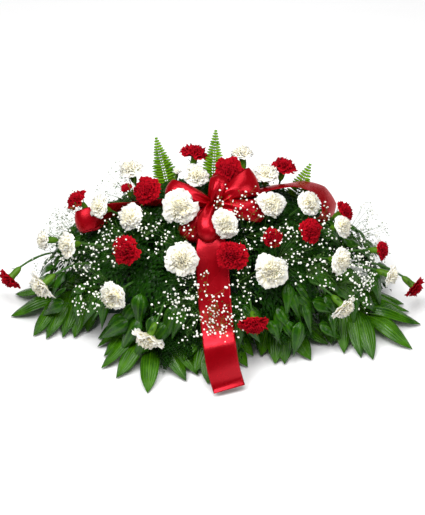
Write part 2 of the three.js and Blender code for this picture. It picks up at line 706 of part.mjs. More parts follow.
for (const [name, root, ribs] of LEATHERLEAF) {
  const parts = ribs.flatMap((points) => leatherleafRib(root, points));
  addNode(`leatherleaf_${name}`, fuse(parts), LEATHERLEAF_GREEN);
}

// Baby's breath: each spray's root, the fork of its main stem, and the clusters that it carries,
// each with a middle, a radius and a count of florets
const BREATH = [
  ['left', vec(-150, -34, 48), vec(-196, -44, 190), [
    [-352, -4, 168, 44, 7], [-306, 20, 226, 34, 4], [-206, 30, 296, 40, 6], [-226, -112, 256, 40, 6],
    [-258, -176, 176, 40, 5], [-92, -128, 288, 34, 4],
  ]],
  ['middle', vec(-20, -30, 48), vec(-36, -112, 176), [
    [-44, -196, 214, 30, 4], [-26, -238, 170, 44, 8], [-70, -226, 178, 34, 4], [30, -238, 158, 30, 4],
  ]],
  ['right', vec(150, -34, 48), vec(190, -50, 180), [
    [82, -104, 300, 34, 4], [176, -150, 256, 42, 6], [246, -152, 216, 36, 4], [316, -110, 190, 36, 5],
    [354, 8, 178, 46, 7], [318, -152, 170, 36, 5],
  ]],
];
const FLORET = 5; // a tuft of florets, larger than life

function floretTwig(from, to) {
  const out = to.clone().sub(from).normalize();
  const belt = to.clone().addScaledVector(out, 0.6 * FLORET);
  const crown = to.clone().addScaledVector(out, 1.3 * FLORET);
  return tube([from, to, belt, crown], [0.9, 0.9, FLORET, 0], 3);
}

for (const [name, root, fork, clusters] of BREATH) {
  const random = seeded(11 * name.length + 5);
  const hub = vec(0, 0, HUB.z);
  const make = (from, to) => tube([from, to], [1.8, 1.6], 4);
  const ways = nearby(root, [9, 18]).flatMap((from) => nearby(fork, [10, 20, 32]).map((to) => [from, to]));
  const way = ways.find(([from, to]) => isClear(make(from, to)));
  if (!way) throw new Error(`no way for the baby's breath ${name}`);
  bore(way[0], way[1], 1.8);
  const top = way[1];
  const parts = [make(way[0], top)];
  for (const [x, y, z, radius, count] of clusters) {
    const middle = vec(x, y, z);
    const inward = middle.clone().sub(hub).normalize().multiplyScalar(-radius * 1.1);
    let node = null;
    const ends = nearby(middle.clone().add(inward), [12, 22]);
    const branch = firstClear(ends.flatMap((end) => nearby(vec(0, 0, 6), [12, 24, 36]).map((bow) => () => {
      node = end;
      return tube([top, along(top, end, 0.5).add(bow), end], [1.4, 1.3, 1.1], 3);
    })));
    if (!branch) continue;
    parts.push(branch);
    for (let i = 0; i < count; i += 1) {
      const versions = Array.from({ length: 10 }, () => {
        const offset = vec(random() - 0.5, random() - 0.5, random() - 0.5).normalize();
        return middle.clone().addScaledVector(offset, radius * (0.45 + 0.55 * random()));
      });
      const twig = firstClear(versions.map((end) => () => floretTwig(node, end)));
      if (twig) parts.push(twig);
    }
  }
  addNode(`babys_breath_${name}`, fuse(parts), BREATH_WHITE);
}

// Foam brick with the holes that the stems stand in
const chambers = [-1, 1].map((side) =>
  solidOfGeometry(new THREE.IcosahedronGeometry(CHAMBER, 0)).translate([side * HUB.x, HUB.y, HUB.z]));
const foamBox = new THREE.BoxGeometry(FOAM.x, FOAM.y, FOAM.z);
const brick = solidOfGeometry(foamBox).translate([0, 0, FOAM_LOW + FOAM.z / 2]);
const pierced = brick.subtract(fuse([...foamHoles, ...chambers])).decompose();
const whole = pierced.reduce((a, b) => (b.volume() > a.volume() ? b : a)); // crumbs between holes fall out
addNode('floral_foam', whole, FOAM_GREEN);

export default group;
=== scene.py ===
"""A casket spray of red and white carnations with a satin bow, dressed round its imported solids.

The flowers, leaves and ribbon are worked out in millimetres, as in the part's own source, and each
finished piece is brought to metres when it is closed.
"""
import random
from math import atan2, copysign, cos, exp, hypot, pi, radians, sin, sqrt

import bmesh
import bpy
from mathutils import Matrix, Quaternion, Vector, kdtree, noise


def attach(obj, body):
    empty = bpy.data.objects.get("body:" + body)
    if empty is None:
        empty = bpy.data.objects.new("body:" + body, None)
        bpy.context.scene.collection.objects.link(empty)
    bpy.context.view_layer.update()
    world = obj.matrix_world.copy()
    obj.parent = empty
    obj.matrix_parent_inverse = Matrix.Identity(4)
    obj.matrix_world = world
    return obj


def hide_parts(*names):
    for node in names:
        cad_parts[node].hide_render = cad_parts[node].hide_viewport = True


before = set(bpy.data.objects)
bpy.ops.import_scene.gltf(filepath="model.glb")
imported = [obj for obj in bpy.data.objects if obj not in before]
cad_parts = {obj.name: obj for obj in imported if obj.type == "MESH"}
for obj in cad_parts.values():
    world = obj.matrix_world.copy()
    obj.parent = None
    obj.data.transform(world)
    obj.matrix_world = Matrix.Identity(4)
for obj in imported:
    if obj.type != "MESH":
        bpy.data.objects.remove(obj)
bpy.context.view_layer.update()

MM = 0.001  # metres in a millimetre

# Sizes in millimetres, the same as the solids have
GAP = 0.4  # between a head and its calyx
HUB_X = 95  # the stems of a half meet in the foam, this far from its middle
HUB_Z = 48
STEM_RADIUS = 2.3
CALYX_LENGTH = 27
CALYX_RADIUS = 6.8
FLOOR_CLEARANCE = 2
RIBBON_WIDTH = 70
KNOT = Vector((2, -40, 303))
UP = Vector((0, 0, 1))
FERN_FACE = Vector((0, -0.74, 0.67))  # the side that the upright fern fronds show
SIGHT = radians(42)  # how far above the table the spray is seen from
TOWARDS_VIEWER = Vector((0, -cos(SIGHT), sin(SIGHT)))
SEEN_UP = Vector((0, sin(SIGHT), cos(SIGHT)))
FULL_TURN = 6.3  # radians, for a wave that starts anywhere

# Each carnation: name, x, y, z of its head, its width, and how many degrees its face leans from
# the line of its stem towards the front and down.
WHITE = [
    ("top_left", -177, 72, 304, 57, 0),
    ("left_shoulder", -243, -34, 290, 54, 22),
    ("left_centre", -175, -80, 302, 60, 28),
    ("front_crown_left", -70, -76, 326, 74, 28),
    ("crown", -34, 6, 344, 60, 10),
    ("crown_bud", -76, 24, 338, 24, 0),
    ("back_crown", 64, 132, 296, 57, 0),
    ("right_crown", 114, 26, 333, 56, 4),
    ("front_crown_right", 126, -62, 322, 61, 28),
    ("right_shoulder", 206, -38, 305, 56, 18),
    ("front_middle", 27, -114, 312, 61, 32),
    ("front_left", -66, -171, 262, 74, 10),
    ("front_right", 123, -182, 238, 76, 6),
    ("right_centre", 274, -131, 221, 57, 20),
    ("right_upper", 278, -64, 263, 52, 16),
    ("right_low", 383, -96, 148, 50, 24),
    ("front_right_low", 280, -186, 138, 64, 46),
    ("front_left_low", -212, -195, 178, 74, 24),
    ("front_hanging", -136, -244, 102, 76, 64),
    ("left_low", -366, -121, 142, 72, 44),
    ("left_upper", -311, -88, 230, 56, 20),
    ("far_left_upper", -363, -46, 205, 46, 18),
    ("back_right", 132, 188, 138, 58, 0),
]
RED = [
    ("back_top", -37, 121, 307, 64, 0),
    ("crown", 33, 22, 343, 66, 32),
    ("left_top", -140, -24, 328, 62, 30),
    ("left_top_bud", -184, 4, 308, 34, 0),
    ("far_left_top", -293, 30, 254, 54, 0),
    ("left_front", -184, -141, 259, 66, 18),
    ("front_centre", 40, -166, 270, 68, 8),
    ("front_right_small", 127, -128, 286, 45, 20),
    ("right_front", 210, -98, 279, 55, 22),
    ("right_top", 153, 76, 310, 59, 0),
    ("front_low", 90, -241, 138, 62, 36),
    ("far_left", -440, -39, 86, 56, 48),
    ("far_right_top", 285, 12, 238, 48, 6),
    ("right_end", 364, -66, 194, 43, 14),
    ("far_right", 437, -59, 80, 54, 40),
    ("back_left", -124, 192, 130, 58, 0),
]


# Materials

PETAL_CREASES = 38.0  # radians of the wave that creases a petal, from side to side
CREASE_WANDER = 9.0  # how far that wave wanders
SATIN_WEFT = 1400.0  # radians of the threads along a ribbon
SATIN_WARP = 520.0  # radians of the threads across it
SELVEDGE = (0.475, 0.485)  # where the firm edge starts, from the middle, as a share of the width


class Signal:
    """A value inside a material. A sum, difference or product of signals adds a Math node."""

    def __init__(self, finish, output):
        self.finish = finish
        self.output = output

    def combine(self, operation, first, second):
        return self.finish.node("ShaderNodeMath", {"operation": operation}, {0: first, 1: second})

    def __add__(self, other):
        return self.combine("ADD", self, other)

    def __sub__(self, other):
        return self.combine("SUBTRACT", self, other)

    def __rsub__(self, other):
        return self.combine("SUBTRACT", other, self)

    def __mul__(self, other):
        return self.combine("MULTIPLY", self, other)

    __radd__ = __add__
    __rmul__ = __mul__


class Finish:
    """A material under construction, round one Principled shader."""

    def __init__(self, name, **constants):
        self.material = bpy.data.materials.new(name)
        self.material.use_nodes = True
        self.tree = self.material.node_tree
        self.shader = self.tree.nodes["Principled BSDF"]
        for key, value in constants.items():
            self.set(key.replace("_", " "), value)

    def set(self, socket, value):
        self.feed(self.shader.inputs[socket], value)

    def feed(self, socket, value):
        if isinstance(value, Signal):
            self.tree.links.new(value.output, socket)
        else:
            socket.default_value = value

    def node(self, kind, settings, inputs, output=0):
        made = self.tree.nodes.new(kind)
        for key, value in settings.items():
            setattr(made, key, value)
        for key, value in inputs.items():
            self.feed(made.inputs[key], value)
        return Signal(self, made.outputs[output])

    def maths(self, operation, value):
        return self.node("ShaderNodeMath", {"operation": operation}, {0: value})

    def place(self):
        return self.node("ShaderNodeTexCoord", {}, {}, "Object")

    def attribute(self, name):
        return self.node("ShaderNodeAttribute", {"attribute_name": name}, {}, "Fac")

    def uv(self, axis):
        spread = self.node("ShaderNodeUVMap", {"uv_map": "UVMap"}, {})
        return self.node("ShaderNodeSeparateXYZ", {}, {0: spread}, axis)

    def noise(self, scale, detail=3.0, roughness=0.5):
        inputs = {"Vector": self.place(), "Scale": scale, "Detail": detail, "Roughness": roughness}
        return self.node("ShaderNodeTexNoise", {}, inputs, "Fac")

    def spread(self, value, low, high, to_low=0.0, to_high=1.0):
        inputs = {0: value, 1: low, 2: high, 3: to_low, 4: to_high}
        return self.node("ShaderNodeMapRange", {"clamp": True}, inputs)

    def blend(self, factor, first, second):
        settings = {"data_type": "RGBA"}
        return self.node("ShaderNodeMix", settings, {0: factor, 6: first, 7: second}, 2)

    def glow(self, weight, radius, scale):
        """Lets light in, to come out again a little way off, as thin petals and leaves do."""
        self.set("Subsurface Weight", weight)
        self.set("Subsurface Radius", radius)
        self.set("Subsurface Scale", scale)

    def bump(self, height, strength, distance):
        inputs = {"Strength": strength, "Distance": distance, "Height": height}
        self.set("Normal", self.node("ShaderNodeBump", {}, inputs))


def colour(red, green, blue):
    return (red, green, blue, 1.0)


def petal_finish(name, deep, body, rim, heart, glow, folded):
    """Crinkled petals: the deep colour towards the foot and as painted shade in the creases, a lighter rim
    as a painted highlight on the toothed edge, and tinted at the heart.
    """
    made = Finish(name, Roughness=0.75, Specular_IOR_Level=0.06)
    made.glow(glow, (1.0, 0.8, 0.6), 0.003)
    along = made.attribute("along")
    mottle = made.noise(260.0)
    turn = made.uv("X") * PETAL_CREASES + made.noise(170.0, 2.0) * CREASE_WANDER
    folds_and_shade = made.maths("SINE", turn)
    base = made.blend(made.spread(along, 0.3, 0.95), deep, body)
    tinted = made.blend(made.attribute("heart") * made.spread(along, 1.05, 0.55, 0.55, 1.0), base, heart)
    # Painted highlight: the rim colour, lighter than the body, stands for light catching the toothed edge.
    rim_highlighted = made.blend(made.spread(along, 0.86, 1.0, 0.0, 0.55), tinted, rim)
    # Painted shade: the deep colour is laid along the creases, as strongly as folded says.
    crease_shaded = made.blend(made.spread(folds_and_shade, 0.1, 1.0, 0.0, folded), rim_highlighted, deep)
    made.set("Base Color", made.blend(made.spread(mottle, 0.35, 0.75, 0.0, 0.25), crease_shaded, deep))
    made.bump(folds_and_shade * 0.7 + made.noise(700.0, 4.0) * 0.6, 0.5, 0.0008)
    return made.material


def leaf_finish(name, dark, light, vein, rough, lines, gloss):
    """A waxy leaf: lengthwise veins across its UV width, uneven green, and patches of gloss."""
    made = Finish(name, Specular_IOR_Level=gloss)
    across = made.uv("X")
    patches = made.noise(28.0, 4.0)
    ridges = made.maths("SINE", across * (lines * 2 * pi))
    off_middle = made.maths("ABSOLUTE", across - 0.5)
    midrib = made.spread(off_middle, 0.035, 0.0)
    green = made.blend(made.spread(patches, 0.3, 0.7), dark, light)
    veined = made.blend(made.spread(ridges, 0.2, 1.0, 0.0, 0.3), green, vein)
    made.set("Base Color", made.blend(midrib * 0.6, veined, vein))
    made.set("Roughness", made.spread(made.noise(60.0), 0.3, 0.75, rough - 0.08, rough + 0.14))
    made.bump(ridges * 0.5 + midrib + made.noise(140.0) * 1.2, 0.6, 0.0009)
    return made.material


def fern_finish(name, dark, light, rough):
    """Small fern leaflets, each a little lighter or darker than the next."""
    made = Finish(name, Specular_IOR_Level=0.11)
    tufts = made.noise(45.0, 5.0, 0.7)
    made.set("Base Color", made.blend(made.spread(tufts, 0.3, 0.72), dark, light))
    made.set("Roughness", made.spread(made.noise(130.0), 0.3, 0.7, rough - 0.1, rough + 0.15))
    made.bump(made.noise(800.0), 0.3, 0.0005)
    return made.material


def stem_finish():
    made = Finish("carnation_stem_green", Roughness=0.5, Specular_IOR_Level=0.2)
    bloom = made.noise(60.0, 4.0)
    made.set("Base Color", made.blend(bloom, colour(0.022, 0.075, 0.010), colour(0.06, 0.15, 0.025)))
    made.bump(made.noise(600.0), 0.2, 0.0004)
    return made.material


def calyx_finish():
    """The calyx is yellow-green and fades to a paler tip at each of its five points."""
    made = Finish("calyx_green", Roughness=0.42, Specular_IOR_Level=0.2)
    made.glow(0.1, (0.6, 1.0, 0.3), 0.002)
    skin = made.blend(made.noise(150.0), colour(0.035, 0.11, 0.004), colour(0.10, 0.22, 0.007))
    tip = made.spread(made.attribute("along"), 0.6, 0.95, 0.0, 0.75)
    made.set("Base Color", made.blend(tip, skin, colour(0.26, 0.36, 0.02)))
    made.bump(made.noise(500.0), 0.2, 0.0004)
    return made.material


def floret_finish():
    made = Finish("babys_breath_petal", Roughness=0.7)
    made.glow(0.1, (1.0, 1.0, 0.9), 0.001)
    folds_and_shade = made.noise(900.0)
    # Painted shade: a greyer cream is laid where the noise marks the folds of the crinkled petals.
    made.set("Base Color", made.blend(folds_and_shade, colour(0.78, 0.78, 0.68), colour(0.97, 0.97, 0.93)))
    made.bump(folds_and_shade, 0.5, 0.0006)
    return made.material


def satin_finish():
    """Woven satin: long floats across the ribbon, a soft broad shine and a firm selvedge."""
    made = Finish("red_satin", Anisotropic=0.35, Metallic=0.45, Specular_IOR_Level=0.85)
    made.set("Specular Tint", colour(1.0, 0.25, 0.34))
    across = made.uv("X")
    weft = made.maths("SINE", made.uv("Y") * SATIN_WEFT)
    warp = made.maths("SINE", across * SATIN_WARP)
    middle = made.maths("ABSOLUTE", across - 0.5)
    selvedge = made.spread(middle, *SELVEDGE)
    streaks = made.noise(30.0, 2.0)
    cloth = made.blend(streaks, colour(0.29, 0.0, 0.003), colour(0.39, 0.0, 0.005))
    made.set("Base Color", made.blend(selvedge * 0.5, cloth, colour(0.13, 0.0, 0.002)))
    made.set("Roughness", made.spread(streaks, 0.3, 0.7, 0.23, 0.31))
    made.bump(weft * 0.5 + warp * 0.5 + selvedge, 0.12, 0.0003)
    return made.material


def foam_finish():
    made = Finish("soaked_foam", Roughness=0.85)
    pores = made.node("ShaderNodeTexVoronoi", {}, {"Vector": made.place(), "Scale": 700.0}, "Distance")
    wet = made.noise(14.0, 3.0)
    made.set("Base Color", made.blend(wet, colour(0.012, 0.07, 0.03), colour(0.03, 0.12, 0.055)))
    made.set("Roughness", made.spread(wet, 0.3, 0.7, 0.6, 0.9))
    made.bump(pores, 0.7, 0.001)
    return made.material


def tray_finish():
    made = Finish("moulded_tray", Roughness=0.4)
    grain = made.noise(1200.0, 2.0)
    handled = made.noise(18.0, 4.0)
    made.set("Base Color", made.blend(handled, colour(0.006, 0.035, 0.014), colour(0.012, 0.055, 0.024)))
    made.set("Roughness", made.spread(handled, 0.3, 0.7, 0.32, 0.52))
    made.bump(grain, 0.2, 0.0003)
    return made.material


# deep is the colour at a petal's foot and also its painted crease shade; rim is a painted highlight on the
# edge.
RED_PETAL = petal_finish(
    "red_petal", deep=colour(0.10, 0.0, 0.002), body=colour(0.36, 0.0, 0.005),
    rim=colour(0.60, 0.006, 0.022), heart=colour(0.24, 0.0, 0.003), glow=0.05, folded=0.45,
)
WHITE_PETAL = petal_finish(
    "white_petal", deep=colour(0.72, 0.66, 0.44), body=colour(0.86, 0.84, 0.79),
    rim=colour(0.90, 0.89, 0.86), heart=colour(0.95, 0.85, 0.48), glow=0.28, folded=0.3,
)
STEM = stem_finish()
CALYX = calyx_finish()
PALM = leaf_finish(
    "palm_leaf", dark=colour(0.006, 0.048, 0.0004), light=colour(0.045, 0.16, 0.001),
    vein=colour(0.10, 0.26, 0.002), rough=0.24, lines=7, gloss=0.2,
)
BROAD = leaf_finish(
    "broad_leaf", dark=colour(0.002, 0.024, 0.0004), light=colour(0.018, 0.09, 0.001),
    vein=colour(0.06, 0.17, 0.002), rough=0.26, lines=3, gloss=0.22,
)
SWORD = leaf_finish(
    "sword_fern", dark=colour(0.03, 0.14, 0.002), light=colour(0.17, 0.37, 0.004),
    vein=colour(0.26, 0.46, 0.01), rough=0.45, lines=2, gloss=0.1,
)
LEATHERLEAF = fern_finish(
    "leatherleaf", dark=colour(0.0005, 0.007, 0.0002), light=colour(0.010, 0.058, 0.0006), rough=0.32,
)
TWIG = fern_finish(
    "babys_breath_twig", dark=colour(0.04, 0.10, 0.015), light=colour(0.10, 0.20, 0.04), rough=0.5,
)
FLORET = floret_finish()
SATIN = satin_finish()


# Shaping

SAME_PLACE = 0.0005  # corners closer than this are one


def seen(x, up, near):
    """A point given as it looks from in front and above: x, how high, and how near."""
    return Vector((x, 0, 0)) + SEEN_UP * up + TOWARDS_VIEWER * near


def mix(low, high, share):
    return low + (high - low) * share


def clamp(value, low, high):
    return min(max(value, low), high)


def ease(value, low, high):
    """From 0 at one value to 1 at another, slow at both ends."""
    share = clamp((value - low) / (high - low), 0.0, 1.0)
    return share * share * (3 - 2 * share)


def turned(way, axis, angle):
    """A direction turned about an axis, in radians."""
    way = way.copy()
    way.rotate(Quaternion(axis, angle))
    return way


def curve_point(points, share):
    """A point on the smooth line through a few points, spaced by the root of their distances."""
    last = len(points) - 1
    first = min(int(share * last), last - 1)
    t = share * last - first
    b, c = points[first], points[first + 1]
    a = points[first - 1] if first else b * 2 - c
    d = points[first + 2] if first + 2 <= last else c * 2 - b
    before, span, after = (max(sqrt((q - p).length), 0.01) for p, q in ((a, b), (b, c), (c, d)))
    leave = ((b - a) / before - (c - a) / (before + span) + (c - b) / span) * span
    arrive = ((c - b) / span - (d - b) / (span + after) + (d - c) / after) * span
    bend = (b - c) * 2 + leave + arrive
    return b + leave * t + ((c - b) * 3 - leave * 2 - arrive) * t * t + bend * t * t * t


def curve_points(points, steps):
    return [curve_point(points, i / steps) for i in range(steps + 1)]


def headings(path):
    ends = [(path[max(i - 1, 0)], path[min(i + 1, len(path) - 1)]) for i in range(len(path))]
    return [(after - before).normalized() for before, after in ends]


def new_form():
    """An empty mesh with a UV map and the marks that the petals' colours follow."""
    form = bmesh.new()
    form.loops.layers.uv.new("UVMap")
    form.verts.layers.float.new("along")
    form.verts.layers.float.new("heart")
    return form


def surface(form, across, along, shape, heart=0.0):
    """A grid whose point at u, -1 to 1 across, and v, 0 to 1 along, goes to shape(u, v)."""
    made = bmesh.ops.create_grid(form, x_segments=across, y_segments=along, size=1, calc_uvs=True)["verts"]
    along_mark = form.verts.layers.float["along"]
    heart_mark = form.verts.layers.float["heart"]
    for vert in made:
        u = vert.co.x
        v = (vert.co.y + 1) / 2
        vert[along_mark] = v
        vert[heart_mark] = heart
        vert.co = shape(u, v)
    return made


def closed_surface(form, across, along, shape, heart=0.0):
    """A grid whose sides meet and whose ends are points, joined where it meets."""
    made = surface(form, across, along, shape, heart)
    bmesh.ops.remove_doubles(form, verts=made, dist=SAME_PLACE)


def thicken(form, thickness):
    """Gives thin petals, leaves or ribbon a second side and a closed edge."""
    bmesh.ops.recalc_face_normals(form, faces=form.faces[:])
    raised = bmesh.ops.extrude_face_region(form, geom=form.faces[:], use_keep_orig=True)["geom"]
    form.normal_update()
    for part in raised:
        if isinstance(part, bmesh.types.BMVert):
            part.co += part.normal * thickness


def tube(form, path, radii, sides):
    """A closed round stem along a path, with a radius at each point."""
    towards = headings(path)
    upright = abs(towards[0].z) > 0.9
    across = towards[0].cross(Vector((0, 1, 0)) if upright else UP).normalized()
    frames = []
    for heading in towards:
        across = (across - heading * across.dot(heading)).normalized()
        frames.append((across, heading.cross(across)))
    rows = len(path) + 1

    def shape(u, v):
        row = round(v * rows)
        i = clamp(row - 1, 0, len(path) - 1)
        radius = 0 if row in (0, rows) else radii[i]
        turn = pi * u
        return path[i] + frames[i][0] * (radius * cos(turn)) + frames[i][1] * (radius * sin(turn))

    closed_surface(form, sides, rows, shape)


def append(form, part):
    """Moves everything in one mesh into another."""
    carrier = bpy.data.meshes.new("part")
    part.to_mesh(carrier)
    part.free()
    form.from_mesh(carrier)
    bpy.data.meshes.remove(carrier)


def close_piece(name, form, material, replaces=(), smooth=True):
    """Turns a finished mesh into a piece of the spray, in metres, with its faces outwards."""
    bmesh.ops.recalc_face_normals(form, faces=form.faces[:])
    if form.calc_volume(signed=True) < 0:
        bmesh.ops.reverse_faces(form, faces=form.faces[:])
    bmesh.ops.scale(form, vec=(MM, MM, MM), verts=form.verts[:])
    for face in form.faces:
        face.smooth = smooth
    mesh = bpy.data.meshes.new(name)
    form.to_mesh(mesh)
    form.free()
    mesh.materials.append(material)
    piece = bpy.data.objects.new(name, mesh)
    bpy.context.scene.collection.objects.link(piece)
    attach(piece, "root")
    if replaces:
        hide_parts(*replaces)
    return piece


# Following the solids, which were moved clear of each other

SEED_FACTOR = 16807  # each number is the last one times this, modulo the limit
SEED_LIMIT = 2147483647
SEARCH_SLOPES = (0, -0.7, 0.7)  # level, then down, then up
SEARCH_WAYS = 8
AT_CORNER = 0.5  # a point this near to a solid's corner is that corner


def seeded(seed):
    """The same run of numbers from 0 to 1 that the solids were laid out with."""
    state = seed
    while True:
        state = state * SEED_FACTOR % SEED_LIMIT
        yield state / SEED_LIMIT


def solid_points(node):
    """The corners of a solid, in millimetres, ready to be searched."""
    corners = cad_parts[node].data.vertices
    tree = kdtree.KDTree(len(corners))
    for i, corner in enumerate(corners):
        tree.insert(corner.co / MM, i)
    tree.balance()
    return tree


def nearby(point, distances):
    """A point, then points round it at growing distances, in the order the solids tried them."""
    yield point
    for distance in distances:
        for z in SEARCH_SLOPES:
            for i in range(SEARCH_WAYS):
                turn = i * 2 * pi / SEARCH_WAYS
                side = Vector((cos(turn), sin(turn), z))
                yield point + side.normalized() * distance


def solid_follows(tree, path, reach):
    """Whether a solid has a corner within reach of every point of a path."""
    return all(tree.find(point)[2] < reach for point in path)


# Carnation heads

# Whorls from the outside in: petals, then as shares of the head's width the reach and height of
# their rims, the point that their sides bend round, half their spread, and how deep they ruffle.
WHORLS = [
    (5, 0.51, 0.05, 0.24, 0.15, 0.34, 0.036),
    (6, 0.48, 0.12, 0.20, 0.20, 0.29, 0.048),
    (6, 0.38, 0.20, 0.14, 0.22, 0.23, 0.075),
    (7, 0.31, 0.26, 0.10, 0.24, 0.18, 0.090),
    (7, 0.24, 0.31, 0.08, 0.25, 0.15, 0.095),
    (6, 0.16, 0.35, 0.06, 0.26, 0.13, 0.090),
    (4, 0.09, 0.37, 0.03, 0.26, 0.11, 0.070),
    (3, 0.03, 0.38, 0.01, 0.24, 0.09, 0.050),
]
HEART = (0.27, 0.08, 0.25)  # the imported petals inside: half width, foot and top as shares of the head
TEETH = {"white": 0.025, "red": 0.05}  # how deep a rim is cut, as a share of the petal's length
HEART_WHORLS = (0.1, 0.75)  # petals turn to the heart's colour between these shares of the whorls
HEART_COLUMNS = 20
HEART_ROWS = 6
HEART_DENTS = (0.12, 0.35)  # how deep the heart's folds are, as a share, and how close together
SEAT = 0.12  # how far under its middle a head sits on its calyx, as a share of its width
PETAL_COLUMNS = 9
PETAL_ROWS = 4
PETAL_THICKNESS = 0.45
PETAL_LENGTHS = (0.80, 1.06)  # the least and the most of its whorl's reach that a petal has
PETAL_SPREADS = (0.85, 1.15)  # the same for its width
PETAL_TWIST = 0.18
PETAL_SWING = 0.7  # how far a crumpled petal turns aside, in radians
PETAL_SHIFT = 0.3  # how far a petal may stand from its even place, as a share of the step
CLAW_REACH = 0.05  # where a petal's foot starts, as a share of the head's width
CLAW_DEPTH = 2
CLAW_BREADTH = 0.14  # how wide a petal's foot is, as a share of its rim
RIM_LIFT = 0.02  # how much higher or lower a rim may lie, as a share of the head's width
RIM_CURVE = 0.16  # how far a rim falls back at its sides, as a share of the petal's length
RIM_WAVES = (1.3, 2.1)
SECOND_WAVES = (0.45, 2.7)  # how high a second set is, and how close, where the first is at pi
RIM_DROOP = 0.10  # how far a petal's sides hang, as a share of half its width
CUPPING = 0.12  # how far its sides turn in to the middle of the head, as a share
CRUMPLED_MORE = 1.5  # how many more waves a fully crumpled petal has, and how much more twist
CRUMPLED = (0.03, 0.075)  # the ruffles at which a petal starts to crumple, and is fully crumpled
WHORL_TURN = 0.9  # how far each whorl is turned from the last, in radians
HEAD_TURN = 2.4  # the same for each head
LOBES = (2, 3, 5)  # the waves that make a head's outline uneven
LOBE_DEPTHS = (0.02, 0.06)
BUD_WIDTH = 40  # a narrower head is still half closed
LEAN_ASIDE = 0.0045  # how much a leaning head turns to its side, for each millimetre from the middle
LEAN_DOWN = 0.9
KNEE_SHARE = 0.14  # a stem bends this share of its length and this far more behind its head
KNEE_BEHIND = 40
KNEE_RISE = 0.88  # and there only this share of the way up from the foam
HEAD_SEED = 400


def petal(form, width, bearing, whorl, heart, teeth, draw):
    """One fan-shaped petal: a narrow claw in the calyx, and a ruffled rim cut into teeth."""
    _, reach, height, bend_reach, bend_height, spread, ruffle = whorl
    crumple = ease(ruffle, *CRUMPLED)
    reach *= width * draw.uniform(*PETAL_LENGTHS)
    height *= width
    height += width * draw.uniform(-RIM_LIFT, RIM_LIFT) * (1 + crumple)
    bend = Vector((bend_reach * width, bend_height * width))
    rim = Vector((reach, height))
    claw = Vector((CLAW_REACH * width, -CLAW_DEPTH))
    spread *= width * draw.uniform(*PETAL_SPREADS)
    waves = draw.uniform(*RIM_WAVES) + CRUMPLED_MORE * crumple
    shift = draw.uniform(0, FULL_TURN)
    twist = draw.uniform(-PETAL_TWIST, PETAL_TWIST) * (1 + CRUMPLED_MORE * crumple)
    swing = draw.uniform(-PETAL_SWING, PETAL_SWING) * crumple
    tooth_side = draw.choice((-1, 1))
    out = Vector((cos(bearing), sin(bearing), 0))
    aside = turned(Vector((-out.y, out.x, 0)), UP, swing)

    def shape(u, v):
        column = round((u + 1) / 2 * PETAL_COLUMNS)
        tooth = teeth * tooth_side * (1 if column % 2 else -1) if v > 0.99 else 0
        t = v * (1 - RIM_CURVE * u * u) + tooth
        line = claw * (1 - t) ** 2 + bend * 2 * t * (1 - t) + rim * t * t
        slope = ((bend - claw) * (1 - t) + (rim - bend) * t).normalized()
        half = spread * (CLAW_BREADTH + (1 - CLAW_BREADTH) * sin(min(t, 1) * pi / 2) ** 1.4)
        wave = sin(waves * pi * u + shift)
        wave += SECOND_WAVES[0] * sin(SECOND_WAVES[1] * waves * u + 2 * shift)
        lift = ruffle * width * t ** 1.6 * wave - RIM_DROOP * half * u * u
        sideways = half * u + twist * half * t
        radial = line.x - slope.y * lift - CUPPING * abs(sideways * u)
        return out * radial + aside * sideways + UP * (line.y + slope.x * lift)

    surface(form, PETAL_COLUMNS, PETAL_ROWS, shape, heart)


def bloom_line(row):
    """Where a bloom sits and faces, and the hub and knee of its stem."""
    _, x, y, z, _, lean = row
    middle = Vector((x, y, z))
    hub = Vector((copysign(HUB_X, x), 0, HUB_Z))
    reach = middle - hub
    facing = reach.normalized()
    outward = Vector((LEAN_ASIDE * x, -1, -LEAN_DOWN)).normalized()
    facing = turned(facing, facing.cross(outward).normalized(), radians(lean))
    knee = middle - facing * (KNEE_SHARE * reach.length + KNEE_BEHIND)
    return middle, hub, facing, hub.lerp(knee, KNEE_RISE)


def packed_heart(form, width, draw):
    """The tightly folded petals in the middle, which close the gaps between the open ones."""
    wide, foot, top = (share * width for share in HEART)
    shift = Vector([draw.uniform(0, 9) for _ in range(3)])

    def shape(u, v):
        turn = pi * u
        rise = sin(0.5 * pi * v)
        spread = wide * cos(0.5 * pi * v)
        point = Vector((spread * cos(turn), spread * sin(turn), mix(foot, top, rise)))
        return point * (1 + HEART_DENTS[0] * noise.noise(point * HEART_DENTS[1] + shift))

    closed_surface(form, HEART_COLUMNS, HEART_ROWS, shape, 1.0)


def carnation_head(row, teeth, draw, turn):
    width = row[4]
    middle, _, facing, _ = bloom_line(row)
    form = new_form()
    packed_heart(form, width, draw)
    whorls = WHORLS[2:] if width < BUD_WIDTH else WHORLS
    for rank, whorl in enumerate(whorls):
        count = whorl[0]
        heart = ease(rank / (len(whorls) - 1), *HEART_WHORLS)
        for i in range(count):
            place = i + draw.uniform(-PETAL_SHIFT, PETAL_SHIFT)
            bearing = 2 * pi * place / count + WHORL_TURN * rank
            petal(form, width, bearing, whorl, heart, teeth, draw)
    lobes = [(count, draw.uniform(*LOBE_DEPTHS), draw.uniform(0, FULL_TURN)) for count in LOBES]
    for vert in form.verts:
        bearing = atan2(vert.co.y, vert.co.x)
        uneven = 1 + sum(depth * sin(count * bearing + shift) for count, depth, shift in lobes)
        vert.co.x *= uneven
        vert.co.y *= uneven
    thicken(form, PETAL_THICKNESS)
    seat = middle - facing * SEAT * width
    tilt = UP.rotation_difference(facing).to_matrix() @ Matrix.Rotation(turn, 3, "Z")
    bmesh.ops.transform(form, matrix=Matrix.Translation(seat) @ tilt.to_4x4(), verts=form.verts[:])
    return form


